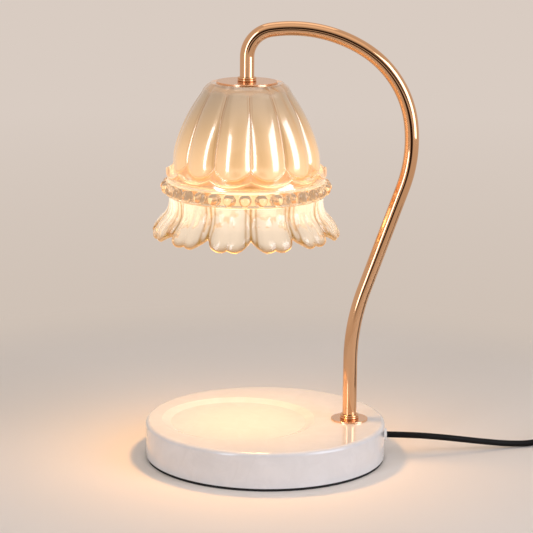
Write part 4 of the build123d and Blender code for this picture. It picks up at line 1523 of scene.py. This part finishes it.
@dataclass
class Studio:
    """A pale floor that fades into an even backdrop, soft lamps and the camera.

    Places and sizes are in metres and angles in degrees. A span is where something starts and
    where it is complete.
    """

    floor: str = "#EFE5DB"
    floor_reach: float = 6.0
    fade_span: Pair = (0.30, 0.46)
    wall: str = "#D9CCC2"
    wall_foot: str = "#CFC1B5"
    wall_span: Pair = (0.4, 1.6)
    dark: str = "#2A1A10"
    patch_shift: Triple = (0.0, 1.75, 0.0)
    patch_scale: Triple = (2.0, 1.35, 1.0)
    patch_span: Pair = (0.7, 1.1)
    front_span: Pair = (-0.96, -0.6)
    soft_light: str = "#F6F1EC"
    soft_strength: float = 0.4
    camera_place: Triple = (-0.00021, -1.5772, 0.4899)
    pitch: float = 12.585
    roll: float = 0.519
    lens: float = 155.55
    sensor: float = 36.0
    clip: Pair = (0.05, 50.0)
    lamps: tuple[SoftLamp, ...] = (
        SoftLamp("left_box", (-0.95, -1.25, 0.62), (0, 0, 0.2), (0.4, 1.3), 8.5, "#E8EEFF"),
        SoftLamp("right_box", (1.35, -0.72, 0.62), (0, 0, 0.2), (0.9, 1.3), 15.0, "#E8EEFF"),
        SoftLamp("front_box", (0.1, -1.7, 2.3), (0, 0, 0.15), (4.0, 2.4), 8.5, "#FFF0DE"),
        SoftLamp("top_box", (0.0, 0.5, 1.7), (0, 0, 0), (1.2, 1.0), 2.5, "#FFF6EC"),
    )
    beam_watts: float = 1.5
    beam_tint: str = "#FFBC6C"
    beam_spread: float = 124.0
    beam_height: float = 0.1835
    beam_radius: float = 0.018

    def camera(self) -> None:
        """A level line of sight turned down by the pitch, with the picture turned by the roll."""
        turn, tilt = radians(self.roll), radians(self.pitch)
        side, up = Vector((1, 0, 0)), Vector((0, sin(tilt), cos(tilt)))
        right = side * cos(turn) + up * sin(turn)
        above = up * cos(turn) - side * sin(turn)
        back = Vector((0, -cos(tilt), sin(tilt)))
        data = bpy.data.cameras.new("camera")
        data.lens, data.sensor_width = self.lens, self.sensor
        data.clip_start, data.clip_end = self.clip
        made = bpy.data.objects.new("camera", data)
        axes = Matrix((right, above, back)).transposed()
        made.matrix_world = Matrix.Translation(self.camera_place) @ axes.to_4x4()
        bpy.context.scene.collection.objects.link(made)
        bpy.context.scene.camera = made

    def mirrored_dark(
        self, tree: Tree, value: Socket, span: Pair, backdrop: str | Socket
    ) -> Socket:
        """The backdrop's colour, turned dark for mirrored rays where a value is low.

        Polished metal gets its dark streaks from it, as a studio's black card gives them.

        Args:
            tree: The node tree.
            value: The value that is read.
            span: Where the dark starts to fade and where it is gone.
            backdrop: The backdrop's colour, or the socket that gives it.

        Returns:
            The socket that gives the mixed colour.
        """
        shade = map_value(tree, value, span, (1.0, 0.0))
        path = add_node(tree, "ShaderNodeLightPath")
        dark = combine(tree, "MULTIPLY", shade, path.outputs["Is Glossy Ray"])
        return mix_colours(tree, dark, backdrop, self.dark)

    def floor_material(self) -> bpy.types.Material:
        """Pale matt board that fades with the distance from the lamp into the backdrop's colour.

        Mirrored rays find a dark patch in front of it, as an ellipse with a soft border.

        Returns:
            The material.
        """
        material = bpy.data.materials.new("floor_matt_board")
        material.use_nodes = True
        tree = material.node_tree
        tree.nodes.clear()
        inputs = {"Base Color": linear(self.floor), "Roughness": 0.75}
        board = add_node(tree, "ShaderNodeBsdfPrincipled", inputs)
        where = add_node(tree, "ShaderNodeTexCoord").outputs["Object"]
        away = add_node(tree, "ShaderNodeVectorMath", {0: where}, operation="LENGTH")
        rising = map_value(tree, away.outputs["Value"], self.wall_span)
        backdrop = mix_colours(tree, rising, self.wall_foot, self.wall)
        inputs = {"Vector": where, "Location": self.patch_shift, "Scale": self.patch_scale}
        patch = add_node(tree, "ShaderNodeMapping", inputs).outputs[0]
        beyond = add_node(tree, "ShaderNodeVectorMath", {0: patch}, operation="LENGTH")
        seen = self.mirrored_dark(tree, beyond.outputs["Value"], self.patch_span, backdrop)
        far = add_node(tree, "ShaderNodeEmission", {"Color": seen, "Strength": 1.0})
        fade = map_value(tree, away.outputs["Value"], self.fade_span, kind="SMOOTHSTEP")
        inputs = {0: fade, 1: board.outputs[0], 2: far.outputs[0]}
        mixed = add_node(tree, "ShaderNodeMixShader", inputs)
        add_node(tree, "ShaderNodeOutputMaterial", {"Surface": mixed.outputs[0]})
        return material

    def floor_piece(self) -> None:
        """A wide level square under the lamp."""
        mesh = bpy.data.meshes.new("floor")
        reach = self.floor_reach
        corners = [(-reach, -reach, 0), (reach, -reach, 0), (reach, reach, 0), (-reach, reach, 0)]
        mesh.from_pydata(corners, [], [(0, 1, 2, 3)])
        mesh.materials.append(self.floor_material())
        made = bpy.data.objects.new("floor", mesh)
        bpy.context.scene.collection.objects.link(made)

    def world(self) -> None:
        """The backdrop's colour for what is seen, mirrored or seen through; else soft light."""
        world = bpy.data.worlds.new("studio")
        bpy.context.scene.world = world
        world.use_nodes = True
        tree = world.node_tree
        tree.nodes.clear()
        path = add_node(tree, "ShaderNodeLightPath")
        seen = path.outputs["Is Camera Ray"]
        for ray in ("Is Glossy Ray", "Is Transmission Ray"):
            seen = combine(tree, "MAXIMUM", seen, path.outputs[ray])
        where = add_node(tree, "ShaderNodeTexCoord")
        split = add_node(tree, "ShaderNodeSeparateXYZ", {"Vector": where.outputs["Generated"]})
        mirrored = self.mirrored_dark(tree, split.outputs["Y"], self.front_span, self.wall)
        soft = {"Color": linear(self.soft_light), "Strength": self.soft_strength}
        light = add_node(tree, "ShaderNodeBackground", soft)
        shown = add_node(tree, "ShaderNodeBackground", {"Color": mirrored, "Strength": 1.0})
        inputs = {0: seen, 1: light.outputs[0], 2: shown.outputs[0]}
        mixed = add_node(tree, "ShaderNodeMixShader", inputs)
        add_node(tree, "ShaderNodeOutputWorld", {"Surface": mixed.outputs[0]})

    def beam(self) -> None:
        """The lit bulb's own light: a warm cone that points down from its lens."""
        data = bpy.data.lights.new("bulb_beam", "SPOT")
        data.energy, data.color = self.beam_watts, linear(self.beam_tint)[:3]
        data.spot_size, data.spot_blend = radians(self.beam_spread), 1.0
        data.shadow_soft_size = self.beam_radius
        made = bpy.data.objects.new("bulb_beam", data)
        made.location = (SHADE_X * MM, 0, self.beam_height)
        made.visible_camera = False
        bpy.context.scene.collection.objects.link(made)

    def build(self) -> None:
        """Sets the stage, its lamps and the bulb's own light."""
        self.camera()
        self.floor_piece()
        self.world()
        for lamp in self.lamps:
            lamp.hang()
        self.beam()
        bpy.context.scene.view_settings.view_transform = "Standard"


def main() -> None:
    """Builds every sub-assembly in order; the new pieces' face counts are logged as they are made.
    """
    logging.basicConfig(level=logging.INFO, format="%(name)s %(message)s")
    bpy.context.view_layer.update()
    for part in (Base(), Arm(), GlassShade(), HolderAndBulb(), Dimmer(), Lead(), Studio()):
        LOG.info("building %s", type(part).__name__)
        part.build()


if __name__ == "__main__":
    main()
